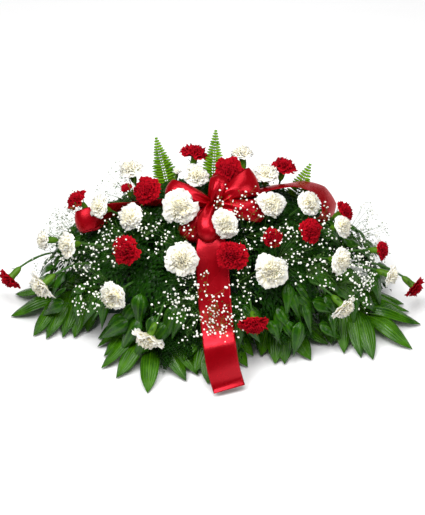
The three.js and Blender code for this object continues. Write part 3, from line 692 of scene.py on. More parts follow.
def build_heads():
    rows = [("white", row) for row in WHITE] + [("red", row) for row in RED]
    for i, (shade, row) in enumerate(rows):
        form = carnation_head(row, TEETH[shade], random.Random(HEAD_SEED + i), i * HEAD_TURN)
        material = WHITE_PETAL if shade == "white" else RED_PETAL
        node = f"{shade}_carnation_{row[0]}"
        close_piece(f"{shade}_petals_{row[0]}", form, material, [node])


# Stems and calyxes

CALYX_COLUMNS = 20
CALYX_OUTSIDE = [  # share of the length from the neck, and share of the widest radius
    (0.0, 0.36), (0.10, 0.62), (0.24, 0.86), (0.5, 1.0), (0.78, 0.98), (1.0, 1.08),
]
CALYX_SKIN = 0.5  # how much wider than its solid it is, and how much longer
CALYX_LONGER = 1
CALYX_POINTS = 5
CALYX_RIBS = 0.03  # how deep its ribs are, as a share of its radius
CALYX_RIM_RISE = 3.0
CALYX_POINT_RISE = 4.5
CALYX_POINT_SPREAD = 1.14
CALYX_INSIDE = 0.98
CALYX_CUP = 5  # how far down the cup is closed, under the petals
FULL_HEAD = 45  # a narrower head has a slimmer calyx
NECK = 3  # a stem's last bend is this far under its solid's calyx
STEM_END = 5  # how far it runs on from there, into the calyx
STEM_SIDES = 8
STEM_STEPS = 18
STEM_JOINTS = (9, 13)  # the steps at which a stem is thicker
STEM_SWELLING = 1.25
STEM_SLIMNESS = 0.95
KNEE_SEARCH = (14, 26, 38, 50, 64)
KNEE_FIT = 0.2  # how far outside a stem's radius its solid's corners may be at its bend
STEM_SEED = 17
STEM_LEAF_WIDTH = 4.5
STEM_LEAF_LENGTHS = (24, 34)
STEM_LEAF_THICKNESS = 0.5
STEM_LEAF_CURL = ((0.5, 5), (0.75, 14))  # how far up, as a share, and out its middle and its tip are
STEM_BLADE = {"columns": 4, "rows": 6, "fold": 0.3}


def calyx(form, seat, facing, slim):
    """A ribbed green cup that ends in five points round the petals."""
    length = CALYX_LENGTH * slim + CALYX_LONGER
    radius = (CALYX_RADIUS + CALYX_SKIN) * slim
    across = facing.orthogonal().normalized()
    other = facing.cross(across)
    rows = len(CALYX_OUTSIDE) + 3

    def shape(u, v):
        row = round(v * rows)
        turn = pi * u
        point = 1 - abs((turn * CALYX_POINTS / pi) % 2 - 1)
        if row == 0:
            wide, high = 0, 0
        elif row <= len(CALYX_OUTSIDE):
            share, wide = CALYX_OUTSIDE[row - 1]
            high = share * length
            wide *= radius * (1 + CALYX_RIBS * cos(2 * CALYX_POINTS * turn))
        elif row == rows:
            wide, high = 0, length - CALYX_CUP
        elif row == len(CALYX_OUTSIDE) + 1:
            wide, high = radius * CALYX_POINT_SPREAD, length + CALYX_POINT_RISE * slim * point
        else:
            wide, high = radius * CALYX_INSIDE, length
        if row == len(CALYX_OUTSIDE):
            high += CALYX_RIM_RISE * slim * point
        centre = seat + facing * (high - length)
        return centre + across * (wide * cos(turn)) + other * (wide * sin(turn))

    closed_surface(form, CALYX_COLUMNS, rows, shape)


def stem_knee(tree, knee):
    """The bend that a solid stem took to pass clear of the ribbon and of other flowers."""
    for bend in nearby(knee, KNEE_SEARCH):
        if len(tree.find_range(bend, STEM_RADIUS + KNEE_FIT)) >= 3:
            return bend
    return knee


def stem(form, row, tree):
    """A stem from the foam into the calyx, thickened at its joints. Leaves grow at the last one."""
    middle, hub, facing, knee = bloom_line(row)
    width = row[4]
    slim = min(1, width / FULL_HEAD)
    seat = middle - facing * (SEAT * width + GAP)
    neck = seat - facing * (CALYX_LENGTH * slim + NECK)
    line = curve_points([hub, stem_knee(tree, knee), neck, neck + facing * STEM_END], STEM_STEPS)
    shares = [STEM_SWELLING if i in STEM_JOINTS else STEM_SLIMNESS for i in range(STEM_STEPS + 1)]
    tube(form, line, [STEM_RADIUS * share for share in shares], STEM_SIDES)
    leafy = STEM_JOINTS[-1]
    return seat, facing, slim, line[leafy], headings(line)[leafy]


def build_stems():
    for side, sign in (("left", -1), ("right", 1)):
        node = f"carnation_stems_{side}"
        tree = solid_points(node)
        draw = random.Random(STEM_SEED + sign)
        stems = new_form()
        cups = new_form()
        blades = new_form()
        for row in WHITE + RED:
            if row[1] * sign < 0:
                continue
            seat, facing, slim, joint, heading = stem(stems, row, tree)
            calyx(cups, seat, facing, slim)
            stem_leaves(blades, joint, heading, draw)
        thicken(blades, STEM_LEAF_THICKNESS)
        close_piece(f"carnation_stalks_{side}", stems, STEM, [node])
        close_piece(f"calyxes_{side}", cups, CALYX, [node])
        close_piece(f"stem_leaves_{side}", blades, STEM, [node])


def stem_leaves(form, joint, heading, draw):
    """Two narrow leaves that clasp the stem at a joint and curl away from it."""
    aside = turned(heading.orthogonal().normalized(), heading, draw.uniform(0, 3.1))
    for way in (aside, -aside):
        reach = draw.uniform(*STEM_LEAF_LENGTHS)
        path = [joint, *(joint + heading * up * reach + way * out for up, out in STEM_LEAF_CURL)]
        blade_surface(form, path, STEM_LEAF_WIDTH, way, draw, **STEM_BLADE)


# Leaf blades

def blade_surface(form, path, width, face, draw, columns, rows, fold, fullness=0.85, wave=0.0, taper=0.8):
    """A leaf blade along a path, folded along its midrib, widest below its middle."""
    line = curve_points(path, rows)
    towards = headings(line)
    shift = draw.uniform(0, FULL_TURN)

    def shape(u, v):
        i = round(v * rows)
        side = face.cross(towards[i]).normalized()
        top = towards[i].cross(side)
        half = 0.5 * width * max(0.01, sin(pi * min(v, 0.995) ** fullness)) ** taper
        height = fold * half * (1 - abs(u)) + wave * half * abs(u) ** 2 * sin(5 * v + shift + 1.5 * u)
        return line[i] + side * (half * u) + top * height

    surface(form, columns, rows, shape)


# Palm leaves round the foot

PALMS = [  # name, where it leaves the foam, bearing, the length of its rib and of its leaflets
    ("front_left", -120, -50, 266, 130, 150),
    ("front", 6, -50, 266, 130, 118),
    ("front_right", 108, -62, 305, 92, 104),
    ("right_end", 224, -14, 322, 130, 140),
    ("left_end", -224, -10, 196, 110, 130),
    ("back_right", 120, 50, 62, 150, 130),
    ("back_left", -120, 50, 118, 150, 130),
]
PALM_PAIRS = 5
PALM_ENTRY = 52  # height of the stems where they leave the foam
PALM_ROOT = 24  # how deep they stand in it
PALM_ROOT_DROP = 6  # how much lower they start
PALM_CREST = (0.45, 8)  # where a rib bends down, as a share of its length, and how far over its entry
PALM_END_HEIGHT = 30
PALM_LEAFY = (0.3, 0.68)  # where the leaflets start along the rib, and the share that they take up
PALM_ANGLES = (62, 8)  # how far the first pair turns from the rib, and how much less each next one
PALM_WANDER = 8  # how many degrees further a leaflet may turn
PALM_LONGEST = 3  # the pair with the longest leaflets
PALM_SHORTER = 0.05  # how much shorter each pair away from it is, as a share
PALM_UNEVEN = (0.92, 0.16)  # the least share of that length that a leaflet has, and how much more
PALM_LIFTS = (0, 7, -3, 14, 22, 32)  # the heights and turns that the solids tried, in their order
PALM_SWINGS = (0, 0.14, -0.14, 0.28, -0.28)
PALM_ARCH = (0.42, 0.76)  # where a leaflet bends, as shares of its length
PALM_SHOULDER = (0.8, 8)  # the height of its first bend: this share of where it starts, and this more
PALM_REST = 4  # how far over the least height its tip lies
PALM_FALL = 0.6  # how far down it is at its second bend, as a share
PALM_LEAF_WIDTH = 40
PALM_LEAF_WIDTHS = (0.92, 1.12)
PALM_RIB = [2.4] * 8 + [2.0, 1.8, 1.6, 1.3]  # its radius at each step
PALM_SIDES = 7
PALM_THICKNESS = 0.6
PALM_BLADE = {"columns": 8, "rows": 14, "fold": 0.3, "fullness": 0.8, "wave": 0.2, "taper": 0.9}
PALM_SEED = 7


def palm_leaflet_path(base, out, angle, length, lift):
    """From the rib out and down to the table, as its solid goes."""
    way = turned(out, UP, angle)
    low = FLOOR_CLEARANCE + PALM_REST + lift
    middle = base + way * PALM_ARCH[0] * length
    middle.z = base.z * PALM_SHOULDER[0] + PALM_SHOULDER[1] + lift
    far = base + way * PALM_ARCH[1] * length
    far.z = mix(middle.z, low, PALM_FALL)
    tip = base + way * length
    tip.z = low
    return [base, middle, far, tip]


def build_palms():
    for name, x, y, bearing, length, leaf in PALMS:
        node = f"palm_frond_{name}"
        tree = solid_points(node)
        turn = radians(bearing)
        out = Vector((cos(turn), sin(turn), 0))
        start = Vector((x, y, 0))
        crest = (PALM_CREST[0] * length, PALM_ENTRY + PALM_CREST[1])
        places = ((6, PALM_ENTRY), crest, (length, PALM_END_HEIGHT))
        bends = [start + out * far + UP * high for far, high in places]
        numbers = seeded(PALM_SEED + bearing)
        draw = random.Random(bearing)
        form = new_form()
        blades = new_form()
        root = start - out * PALM_ROOT + UP * (PALM_ENTRY - PALM_ROOT_DROP)
        tube(form, [root, *curve_points(bends, len(PALM_RIB) - 2)], PALM_RIB, PALM_SIDES)
        for pair in range(PALM_PAIRS + 1):
            base = curve_point(bends, PALM_LEAFY[0] + PALM_LEAFY[1] * pair / PALM_PAIRS)
            for side in (0,) if pair == PALM_PAIRS else (-1, 1):
                angle = side * radians(PALM_ANGLES[0] - PALM_ANGLES[1] * pair + PALM_WANDER * next(numbers))
                reach = leaf * (1 - PALM_SHORTER * abs(pair - PALM_LONGEST))
                reach *= PALM_UNEVEN[0] + PALM_UNEVEN[1] * next(numbers)
                for lift in PALM_LIFTS:
                    for swing in PALM_SWINGS:
                        path = palm_leaflet_path(base, out, angle + swing, reach, lift)
                        if tree.find(path[3])[2] < AT_CORNER:
                            break
                    else:
                        continue
                    width = PALM_LEAF_WIDTH * draw.uniform(*PALM_LEAF_WIDTHS)
                    blade_surface(blades, path, width, UP, draw, **PALM_BLADE)
                    break
        thicken(blades, PALM_THICKNESS)
        append(form, blades)
        close_piece(f"palm_leaves_{name}", form, PALM, [node])


# Sword ferns at the crown

SWORD_FERNS = [  # name, root in the foam, where it leaves the foam, knee, tip
    ("left", (-46, 24, 48), (-55, 30, 96), (-100, 72, 230), (-131, 96, 372)),
    ("middle", (-2, 30, 48), (-2, 38, 96), (0, 84, 220), (7, 108, 384)),
    ("right", (124, 28, 48), (130, 32, 96), (170, 52, 200), (210, 66, 306)),
]
SWORD_BARE = 0.47  # the share of a frond that has no leaflets
SWORD_LEAFY = 0.52
SWORD_SPACING = 7.0
SWORD_REACH = 27  # the length of its longest leaflets
SWORD_FOOT = (0.6, 1.4)  # how long the lowest ones are, as a share, and how fast they grow upwards
SWORD_POINT = (0.13, 1.5)  # the same for the highest ones, and how fast they grow downwards
SWORD_LENGTHS = (0.93, 1.05)  # the least and the most of its length that a leaflet has
SWORD_DROOPS = (0, 4)
SWORD_TWIST = 0.3
SWORD_SWEEP = (0.22, 0.36)  # how far leaflets point ahead
SWORD_WIDTHS = (7.6, 4.8)  # of the lowest and the highest leaflets
SWORD_THICKNESS = 0.4
SWORD_BLADE = {"columns": 2, "rows": 6, "fold": 0.25, "fullness": 0.8, "taper": 0.42}
SWORD_KNEE_SEARCH = (10, 20, 32)
SWORD_TIP_SEARCH = (10, 20)
SWORD_STEPS = 22
SWORD_RIB = (1.9, 0.7)  # its radius at its root and at its tip
SWORD_FIT = 2.2  # how far from a solid's corners its line may pass
SWORD_SEED = 60


def sword_line(tree, root, leave, knee, tip):
    """The line of the solid fern: its own knee and tip, or the nearest that passed clear."""
    for bend in nearby(knee, SWORD_KNEE_SEARCH):
        for end in nearby(tip, SWORD_TIP_SEARCH):
            if tree.find(end)[2] > AT_CORNER:
                continue
            upper = [leave, bend, end]
            if solid_follows(tree, [curve_point(upper, 0.5 + i / 26) for i in range(0, 13, 3)], SWORD_FIT):
                return root, upper
    return root, [leave, knee, tip]


def build_sword_ferns():
    for i, (name, *points) in enumerate(SWORD_FERNS):
        node = f"sword_fern_{name}"
        root, upper = sword_line(solid_points(node), *(Vector(point) for point in points))
        draw = random.Random(SWORD_SEED + i)
        form = new_form()
        blades = new_form()
        line = [root, *curve_points(upper, SWORD_STEPS)]
        last = len(line) - 1
        tube(form, line, [mix(*SWORD_RIB, k / last) for k in range(last + 1)], 6)
        leafy = (curve_point(upper, 1) - curve_point(upper, SWORD_BARE)).length
        pairs = round(leafy / SWORD_SPACING)
        for pair in range(pairs):
            share = pair / (pairs - 1)
            base = curve_point(upper, SWORD_BARE + SWORD_LEAFY * share)
            ahead = (curve_point(upper, min(1, 0.49 + SWORD_LEAFY * share)) - base).normalized()
            left = FERN_FACE.cross(ahead).normalized()
            reach = SWORD_REACH * min(1, SWORD_FOOT[0] + SWORD_FOOT[1] * share)
            reach *= min(1, SWORD_POINT[0] + SWORD_POINT[1] * (1 - share))
            for side in (-1, 1):
                way = (left * side + ahead * draw.uniform(*SWORD_SWEEP)).normalized()
                tip = base + way * reach * draw.uniform(*SWORD_LENGTHS)
                tip -= FERN_FACE * draw.uniform(*SWORD_DROOPS)
                middle = base.lerp(tip, 0.5) + FERN_FACE * 1.5 + ahead * 0.6
                face = FERN_FACE + ahead * draw.uniform(-SWORD_TWIST, SWORD_TWIST)
                path = [base, middle, tip]
                width = mix(*SWORD_WIDTHS, share)
                blade_surface(blades, path, width, face, draw, **SWORD_BLADE)
        thicken(blades, SWORD_THICKNESS)
        append(form, blades)
        close_piece(f"sword_fern_frond_{name}", form, SWORD, [node])


# Leatherleaf ferns, which cover the foam and fill the dome between the flowers

LEATHERLEAF_FERNS = [  # name, root, and ribs: exit from the foam, knee, tip, and pairs of side fronds
    ("front_left", (-34, -30, 48), [((-56, -70, 78), (-66, -128, 98), (-84, -192, 74), 3)]),
    ("front_right", (52, -30, 48), [((62, -70, 78), (98, -112, 104), (160, -156, 92), 3)]),
    ("back", (10, 41, 42), [
        ((12, 70, 80), (16, 130, 110), (4, 206, 84), 2),
        ((-38, 60, 92), (-112, 96, 160), (-222, 126, 122), 2),
        ((58, 60, 92), (140, 94, 156), (244, 114, 116), 2),
    ]),
]
FROND_LENGTH = 100  # the length that a flat frond is drawn at
FROND_STATIONS = 24
FROND_PAIRS = 8  # side branches on each side
FROND_BARE = 12  # where they start along the rib
FROND_LEAFY = 80  # how much of it they take up
FROND_REACH = 44  # how much longer side branches are at the foot than they would be at the tip
FROND_TOP = 5  # how long they would be at the tip
FROND_ANGLES = (52, 14)  # how far the lowest turn from the rib, and how much less one at the tip would
FROND_WANDER = 5
FROND_STAGGER = 2.5  # how far the two of a pair are from its middle
FROND_END = (88, 14)  # where the branch that carries on the rib starts, and its length
FROND_RIB = [0.7, 0.55, 0.25]
LEAFLET_SPACING = 6.4
PINNA_DROOP = 3
LEAFLET_SIZES = (10.5, 5.0)  # at the foot and at the end of a side branch
LEAFLET_ANGLES = (48, 66)
LEAFLET_SHAPE = (0.42, 0.62)  # how far out its middle is, and its breadth, as shares of its length
LEAFLET_HEIGHT = 1.1
LEAFLET_TILT = 0.3
RIB_SEARCH = (10, 20, 32, 44)
RIB_FIT = 2.3  # how far from a solid's corners a rib may pass
RIB_RADII = [2.0] * 8 + [1.7] * 5 + [1.4] * 4
RIB_SIDES = 6
RIB_ARCH = 5  # how far it rises between its bend and its tip
RIB_LEAFY = (0.06, 0.92)  # where its side fronds start beyond the bend, and the share they take up
SIDE_FROND = (100, 8)  # the length of the first pair of side fronds, and how much less each next one
END_FROND = 78
SIDE_ANGLES = (0.95, 0.1)  # how far the first pair turns from the rib, and how much less each next one
SIDE_SWINGS = (0, 0.2, -0.2, 0.4, -0.4)  # the turns and heights that the solids tried, in their order
SIDE_LIFTS = (0, 10, -8, 18, 30)
SIDE_DROOP = 16
SIDE_ARCH = 7
SIDE_LOWEST = 8
SIDE_FIT = 1.5  # how far from a solid's corner the tip of a side frond may be
LEATHERLEAF_SEED = 90
FLAT_FRONDS = 4  # how many different flat fronds there are
FLAT_FROND_SEED = 30


def flat_frond(draw):
    """A triangular fern frond lying flat along +Y: a rib, side ribs, and lobed leaflets on them."""
    form = new_form()
    tube(form, [Vector((0, y, 0)) for y in (0, FROND_LENGTH / 2, FROND_LENGTH)], FROND_RIB, 4)
    for pair in range(FROND_PAIRS):
        share = pair / FROND_PAIRS
        for side in (-1, 1):
            base = Vector((0, FROND_BARE + FROND_LEAFY * share + FROND_STAGGER * side, 0))
            reach = FROND_REACH * (1 - share) ** 0.85 + FROND_TOP
            wander = draw.uniform(-FROND_WANDER, FROND_WANDER)
            lean = radians(FROND_ANGLES[0] - FROND_ANGLES[1] * share + wander)
            way = Vector((side * sin(lean), cos(lean), 0))
            pinna(form, base, way, reach, draw)
    pinna(form, Vector((0, FROND_END[0], 0)), Vector((0, 1, 0)), FROND_END[1], draw)
    carrier = bpy.data.meshes.new("flat_frond")
    form.to_mesh(carrier)
    form.free()
    return carrier


def pinna(form, base, way, reach, draw):
    """One side branch of a frond: leaflets on both sides, shorter towards its tip."""
    steps = max(2, round(reach / LEAFLET_SPACING))
    droop = draw.uniform(-PINNA_DROOP, PINNA_DROOP)
    for step in range(steps + 1):
        share = step / steps
        at = base + way * reach * share + UP * droop * share * share
        size = mix(*LEAFLET_SIZES, share) * min(1, 0.45 + reach / 40)
        for side in (0,) if step == steps else (-1, 1):
            heading = turned(way, UP, side * radians(draw.uniform(*LEAFLET_ANGLES)))
            middle = at + heading * size * LEAFLET_SHAPE[0]
            leaflet(form, middle, heading, size, size * LEAFLET_SHAPE[1], draw)


def leaflet(form, middle, heading, length, width, draw):
    """A small pointed leaflet with a raised middle, tilted a little at random."""
    side = heading.cross(UP).normalized()
    top = side.cross(heading)
    tilt = Matrix.Rotation(draw.uniform(-LEAFLET_TILT, LEAFLET_TILT), 3, "Y")
    lie = Matrix((side, heading, top)).transposed() @ tilt
    size = Matrix.Diagonal((width, length, LEAFLET_HEIGHT, 1))
    matrix = Matrix.Translation(middle) @ lie.to_4x4() @ size
    bmesh.ops.create_cone(
        form, cap_ends=True, cap_tris=False, segments=6, radius1=0.5, radius2=0, depth=1, matrix=matrix,
    )


def lay_frond(form, flat, path, face, length, slim=1.0):
    """Bends a flat frond along a path, with its upper side to one face."""
    part = bmesh.new()
    part.from_mesh(flat)
    line = curve_points(path, FROND_STATIONS)
    towards = headings(line)
    scale = length / FROND_LENGTH
    for vert in part.verts:
        share = clamp(vert.co.y / FROND_LENGTH, 0, 1) * FROND_STATIONS
        low = min(int(share), FROND_STATIONS - 1)
        centre = line[low].lerp(line[low + 1], share - low)
        over = vert.co.y - clamp(vert.co.y, 0, FROND_LENGTH)
        side = face.cross(towards[low]).normalized()
        top = towards[low].cross(side)
        centre = centre + towards[low] * (over * scale)
        vert.co = centre - side * (vert.co.x * scale * slim) + top * (vert.co.z * scale)
    append(form, part)


def build_leatherleaf(flats):
    for i, (name, root, ribs) in enumerate(LEATHERLEAF_FERNS):
        node = f"leatherleaf_{name}"
        tree = solid_points(node)
        draw = random.Random(LEATHERLEAF_SEED + i)
        form = new_form()
        for *points, pairs in ribs:
            leatherleaf_rib(form, flats, tree, [Vector(point) for point in (root, *points)], pairs, draw)
        close_piece(f"leatherleaf_frond_{name}", form, LEATHERLEAF, [node])


def leatherleaf_rib(form, flats, tree, points, pairs, draw):
    """One rib of a fern with its side fronds, bent and lifted as the solid one is."""
    root, leave, knee, tip = points
    for bend in nearby(knee, RIB_SEARCH):
        half = bend.lerp(tip, 0.5) + UP * RIB_ARCH
        if solid_follows(tree, [bend, half], RIB_FIT):
            break
    rib = [root, leave, bend, half, tip]
    tube(form, curve_points(rib, len(RIB_RADII) - 1), RIB_RADII, RIB_SIDES)
    for k in range(pairs + 1):
        share = RIB_LEAFY[0] + RIB_LEAFY[1] * k / pairs
        base = curve_point(rib[2:], share)
        ahead = curve_point(rib[2:], min(1, share + 0.02))
        forward = (ahead - curve_point(rib[2:], share - 0.02)).normalized()
        for side in (0,) if k == pairs else (1, -1):
            length = END_FROND if k == pairs else SIDE_FROND[0] - SIDE_FROND[1] * k
            arch = solid_side_frond(tree, base, forward, side, k, length)
            lay_frond(form, draw.choice(flats), arch, UP, (arch[2] - arch[0]).length)


def solid_side_frond(tree, base, forward, side, rank, length):
    """The line of one side frond, swung and lifted as its solid was."""
    arch = None
    for swing in SIDE_SWINGS:
        for lift in SIDE_LIFTS:
            way = turned(forward, UP, side * (SIDE_ANGLES[0] - SIDE_ANGLES[1] * rank + swing))
            end = base + way * length
            end.z = max(end.z - SIDE_DROOP + lift, SIDE_LOWEST)
            line = [base, base.lerp(end, 0.5) + UP * SIDE_ARCH, end]
            arch = arch or line
            if tree.find(end)[2] < SIDE_FIT:
                return line
    return arch


# The dome that the filling ferns lie on, under the flowers
DOME = Vector((392, 238, 296))  # its half length, half depth and height
DOME_FOOT = 26
DOME_CURVE = 2.1  # a larger power makes the dome's shoulders squarer
STREAMER_BED = 38  # how deep the streamer presses the ferns in under it
STREAMER_MIDDLE = 4  # how far to the right of the middle it lies
STREAMER_SPREAD = 52  # how far to its sides it presses them
LOWEST_LEAF = 12  # the dome is nowhere lower than this
FILL_RINGS = [  # share of the dome that the tips reach, and how many ferns
    (0.26, 5), (0.46, 11), (0.64, 16), (0.80, 22), (0.94, 28),
]
FILL_BREADTH = 150  # a longer fern stays as narrow as one of this length
FILL_SLIMNESS = (0.8, 1.0)
FILL_LAP = 0.26  # how much nearer the top than its tip a fern reaches the dome, as a share
FILL_NEAREST = 0.08  # but no nearer than this
FILL_SWING = 0.1  # how far aside from its tip that may be, in radians
FILL_ROOT = (0.62, 0.5)  # where its stalk starts, as shares of where it bends, but inside the foam
FILL_INSET = Vector((12, 8, 12))  # how far inside the foam's corner it stays
FILL_START = 0.45  # the share of the way to the bend that is only stalk
FILL_STALK = [1.3, 1.1]
FILL_SHIFT = 0.25  # how far a fern may stand from its even place, as a share of the step
FILL_REACHES = (0.93, 1.04)
FILL_SEED = 5
FOAM_CORNER = Vector((226, 52, 84))  # half the foam's length, half its depth, and its top


def dome_point(share, bearing):
    """A point on the dome, from its top at 0 to its foot at 1, lower where the streamer lies."""
    x = DOME.x * share * cos(bearing)
    y = DOME.y * share * sin(bearing)
    away = (x - STREAMER_MIDDLE) / STREAMER_SPREAD
    pressed = STREAMER_BED * exp(-away ** 2) if y < 0 else 0
    height = DOME_FOOT + (DOME.z - DOME_FOOT) * (1 - share ** DOME_CURVE)
    return Vector((x, y, max(height - pressed, LOWEST_LEAF)))


def dome_face(point, share, upright):
    """The way that the dome faces at a point, turned up a little."""
    rise = 1.3 * share / DOME.z + upright
    return Vector((point.x / DOME.x ** 2, point.y / DOME.y ** 2, rise)).normalized()


def fill_fern(form, flats, share, bearing, draw):
    """A fern from the foam up to the dome, and outwards along it."""
    tip = dome_point(share, bearing)
    swing = draw.uniform(-FILL_SWING, FILL_SWING)
    bend = dome_point(max(share - FILL_LAP, FILL_NEAREST), bearing + swing)
    inner = FOAM_CORNER - FILL_INSET
    root_x = clamp(bend.x * FILL_ROOT[0], -inner.x, inner.x)
    root_y = clamp(bend.y * FILL_ROOT[1], -inner.y, inner.y)
    root = Vector((root_x, root_y, inner.z))
    start = root.lerp(bend, FILL_START)
    length = (bend - start).length + (tip - bend).length
    slim = draw.uniform(*FILL_SLIMNESS) * min(1, FILL_BREADTH / length)
    face = (dome_face(tip, share, 0.002) + UP * 0.5).normalized()
    lay_frond(form, draw.choice(flats), [start, bend, tip], face, length, slim)
    tube(form, [root, start], FILL_STALK, 4)


def build_filling(flats):
    """Ferns over the whole dome, kept in four pieces by where they lie."""
    forms = {name: new_form() for name in ("left_front", "right_front", "left_back", "right_back")}
    draw = random.Random(FILL_SEED)
    for share, count in FILL_RINGS:
        for i in range(count):
            bearing = 2 * pi * (i + draw.uniform(-FILL_SHIFT, FILL_SHIFT)) / count + share * 3
            reach = share * draw.uniform(*FILL_REACHES)
            across = "left" if cos(bearing) < 0 else "right"
            depth = "front" if sin(bearing) < 0 else "back"
            fill_fern(forms[f"{across}_{depth}"], flats, reach, bearing, draw)
    for name, form in forms.items():
        close_piece(f"leatherleaf_fill_{name}", form, LEATHERLEAF, smooth=False)


# Broad pointed leaves that hang over the foot of the dome, each on a stalk from inside it
BROAD_LEAVES = [  # from one bearing to another in degrees, shares of the dome, how many, their length
    (-66, -22, 0.70, 0.96, 26, 80), (-92, -68, 0.80, 0.96, 9, 74), (-140, -100, 0.78, 0.96, 13, 84),
    (-178, -142, 0.84, 0.96, 8, 74), (-20, 14, 0.84, 0.98, 9, 74), (20, 160, 0.84, 0.98, 24, 72),
    (162, 184, 0.62, 0.92, 10, 78), (-8, 12, 0.62, 0.84, 5, 76),
]
BROAD_LENGTHS = (0.8, 1.15)  # the least and the most of its row's length that a leaf has
BROAD_WIDTHS = (0.36, 0.48)  # as shares of its own length
BROAD_SWING = 0.7  # how far a leaf may turn from straight down the dome, in radians
BROAD_TILT = 0.45  # how far it may lean over to one side
BROAD_LIFTS = (4, 16)  # how far off the dome its top lies
BROAD_SHARES = (0.4, 0.6)  # how far up and down from its place it reaches, as shares of its length
BROAD_FALL = 8  # how much nearer to the dome than its top its tip is
BROAD_ARCH = 5  # how much further off than its top its middle is
BROAD_ROOT = (26, 0.7)  # how deep in the dome its stalk starts, and how far up, as a share of its length
BROAD_LOWEST = 8
BROAD_THICKNESS = 0.5
BROAD_BLADE = {"columns": 6, "rows": 12, "fold": 0.4, "fullness": 0.66, "wave": 0.25, "taper": 1.15}
BROAD_STALK = [1.0, 0.8]
BROAD_STALK_LOWEST = 14
BROAD_SEED = 12


def broad_leaf(form, share, bearing, length, draw):
    """A leaf that hangs down the dome. It gives where its stalk ends and starts."""
    at = dome_point(share, bearing)
    outward = (dome_point(min(share + 0.08, 1.06), bearing) - at).normalized()
    face = dome_face(at, share, 0.001)
    way = turned(outward, face, draw.uniform(-BROAD_SWING, BROAD_SWING))
    lift = draw.uniform(*BROAD_LIFTS)
    start = at + face * lift - way * BROAD_SHARES[0] * length
    end = at + face * (lift - BROAD_FALL) + way * BROAD_SHARES[1] * length
    path = [start, at + face * (lift + BROAD_ARCH), end]
    for point in path:
        point.z = max(point.z, BROAD_LOWEST)
    width = length * draw.uniform(*BROAD_WIDTHS)
    tilt = (face + way.cross(face) * draw.uniform(-BROAD_TILT, BROAD_TILT)).normalized()
    blade_surface(form, path, width, tilt, draw, **BROAD_BLADE)
    return path[0], at - face * BROAD_ROOT[0] - way * BROAD_ROOT[1] * length


def build_broad_leaves():
    draw = random.Random(BROAD_SEED)
    leaves = new_form()
    stalks = new_form()
    for first, last, near, far, count, length in BROAD_LEAVES:
        for i in range(count):
            bearing = radians(mix(first, last, (i + draw.random()) / count))
            share = draw.uniform(near, far)
            leaf_length = length * draw.uniform(*BROAD_LENGTHS)
            top, root = broad_leaf(leaves, share, bearing, leaf_length, draw)
            root.z = max(root.z, BROAD_STALK_LOWEST)
            tube(stalks, [root, top], BROAD_STALK, 4)
    thicken(leaves, BROAD_THICKNESS)
    append(stalks, leaves)
    close_piece("broad_leaves", stalks, BROAD)


# Baby's breath

BREATH = [  # name, root, fork, and clusters with their middle, radius and number of solid florets
    ("left", (-150, -34, 48), (-196, -44, 190), [
        (-352, -4, 168, 44, 7), (-306, 20, 226, 34, 4), (-206, 30, 296, 40, 6), (-226, -112, 256, 40, 6),
        (-258, -176, 176, 40, 5), (-92, -128, 288, 34, 4),
    ]),
    ("middle", (-20, -30, 48), (-36, -112, 176), [
        (-44, -196, 214, 30, 4), (-26, -238, 170, 44, 8), (-70, -226, 178, 34, 4), (30, -238, 158, 30, 4),
    ]),
    ("right", (150, -34, 48), (190, -50, 180), [
        (82, -104, 300, 34, 4), (176, -150, 256, 42, 6), (246, -152, 216, 36, 4), (316, -110, 190, 36, 5),
        (354, 8, 178, 46, 7), (318, -152, 170, 36, 5),
    ]),
]
MORE_BREATH = {  # smaller clusters between those of the solids
    "left": [(-286, -70, 178, 34, 3), (-150, -96, 290, 24, 2), (-330, -60, 190, 30, 3)],
    "middle": [(36, -62, 330, 24, 2)],
    "right": [
        (226, -58, 268, 32, 3), (62, -196, 214, 26, 2), (128, -110, 286, 28, 2), (66, -62, 332, 26, 1),
    ],
}
SPRIGS_FOR_ONE = 5  # each solid floret stands for this many sprigs
FLORETS_IN_SPRIG = 4
BUDS = 0.3  # the share of florets that are still closed
SHADE_BUDS_BEHIND = 0.65  # the same for the clusters at the back, where the extra dark buds are painted shade for the shade those florets lie in
BEHIND = -10  # a cluster with a larger y is one of those
CLUSTER_SPREAD = 1.7  # how far the sprigs of a cluster reach sideways, in its radii
CLUSTER_DEPTH = 1.7  # how far under a cluster its branch forks, in its radii
CLUSTER_FLATNESS = 0.7  # how much less deep than wide a cluster is
CLUSTER_FILL = 0.4  # a smaller power puts more of its sprigs at its outside
SPRIG_DEPTH = 0.4  # how much further in a sprig may end, in the cluster's radii
BRANCH_ARCH = 8
SPRIG_ARCH = 2
STALK_OUTWARD = 1.1  # how strongly stalks turn away from the middle of the spray
FLORET_CRINKLE = 0.2
FLORET_UNEVEN = 0.15
FLORET_DEPTH = 0.7  # as a share of its width
ROOT_RADII = [1.7, 1.6, 1.5]
BRANCH_RADII = [1.1, 1.0, 1.0, 0.9, 0.9, 0.8, 0.8]
SPRIG_RADII = [0.4, 0.3, 0.25]
STALK_RADII = [0.2, 0.15]
STALK_LENGTHS = (6, 20)
BUD_RADII = (0.9, 1.7)
FLORET_RADII = (1.4, 3.1)
BREATH_SEED = 200


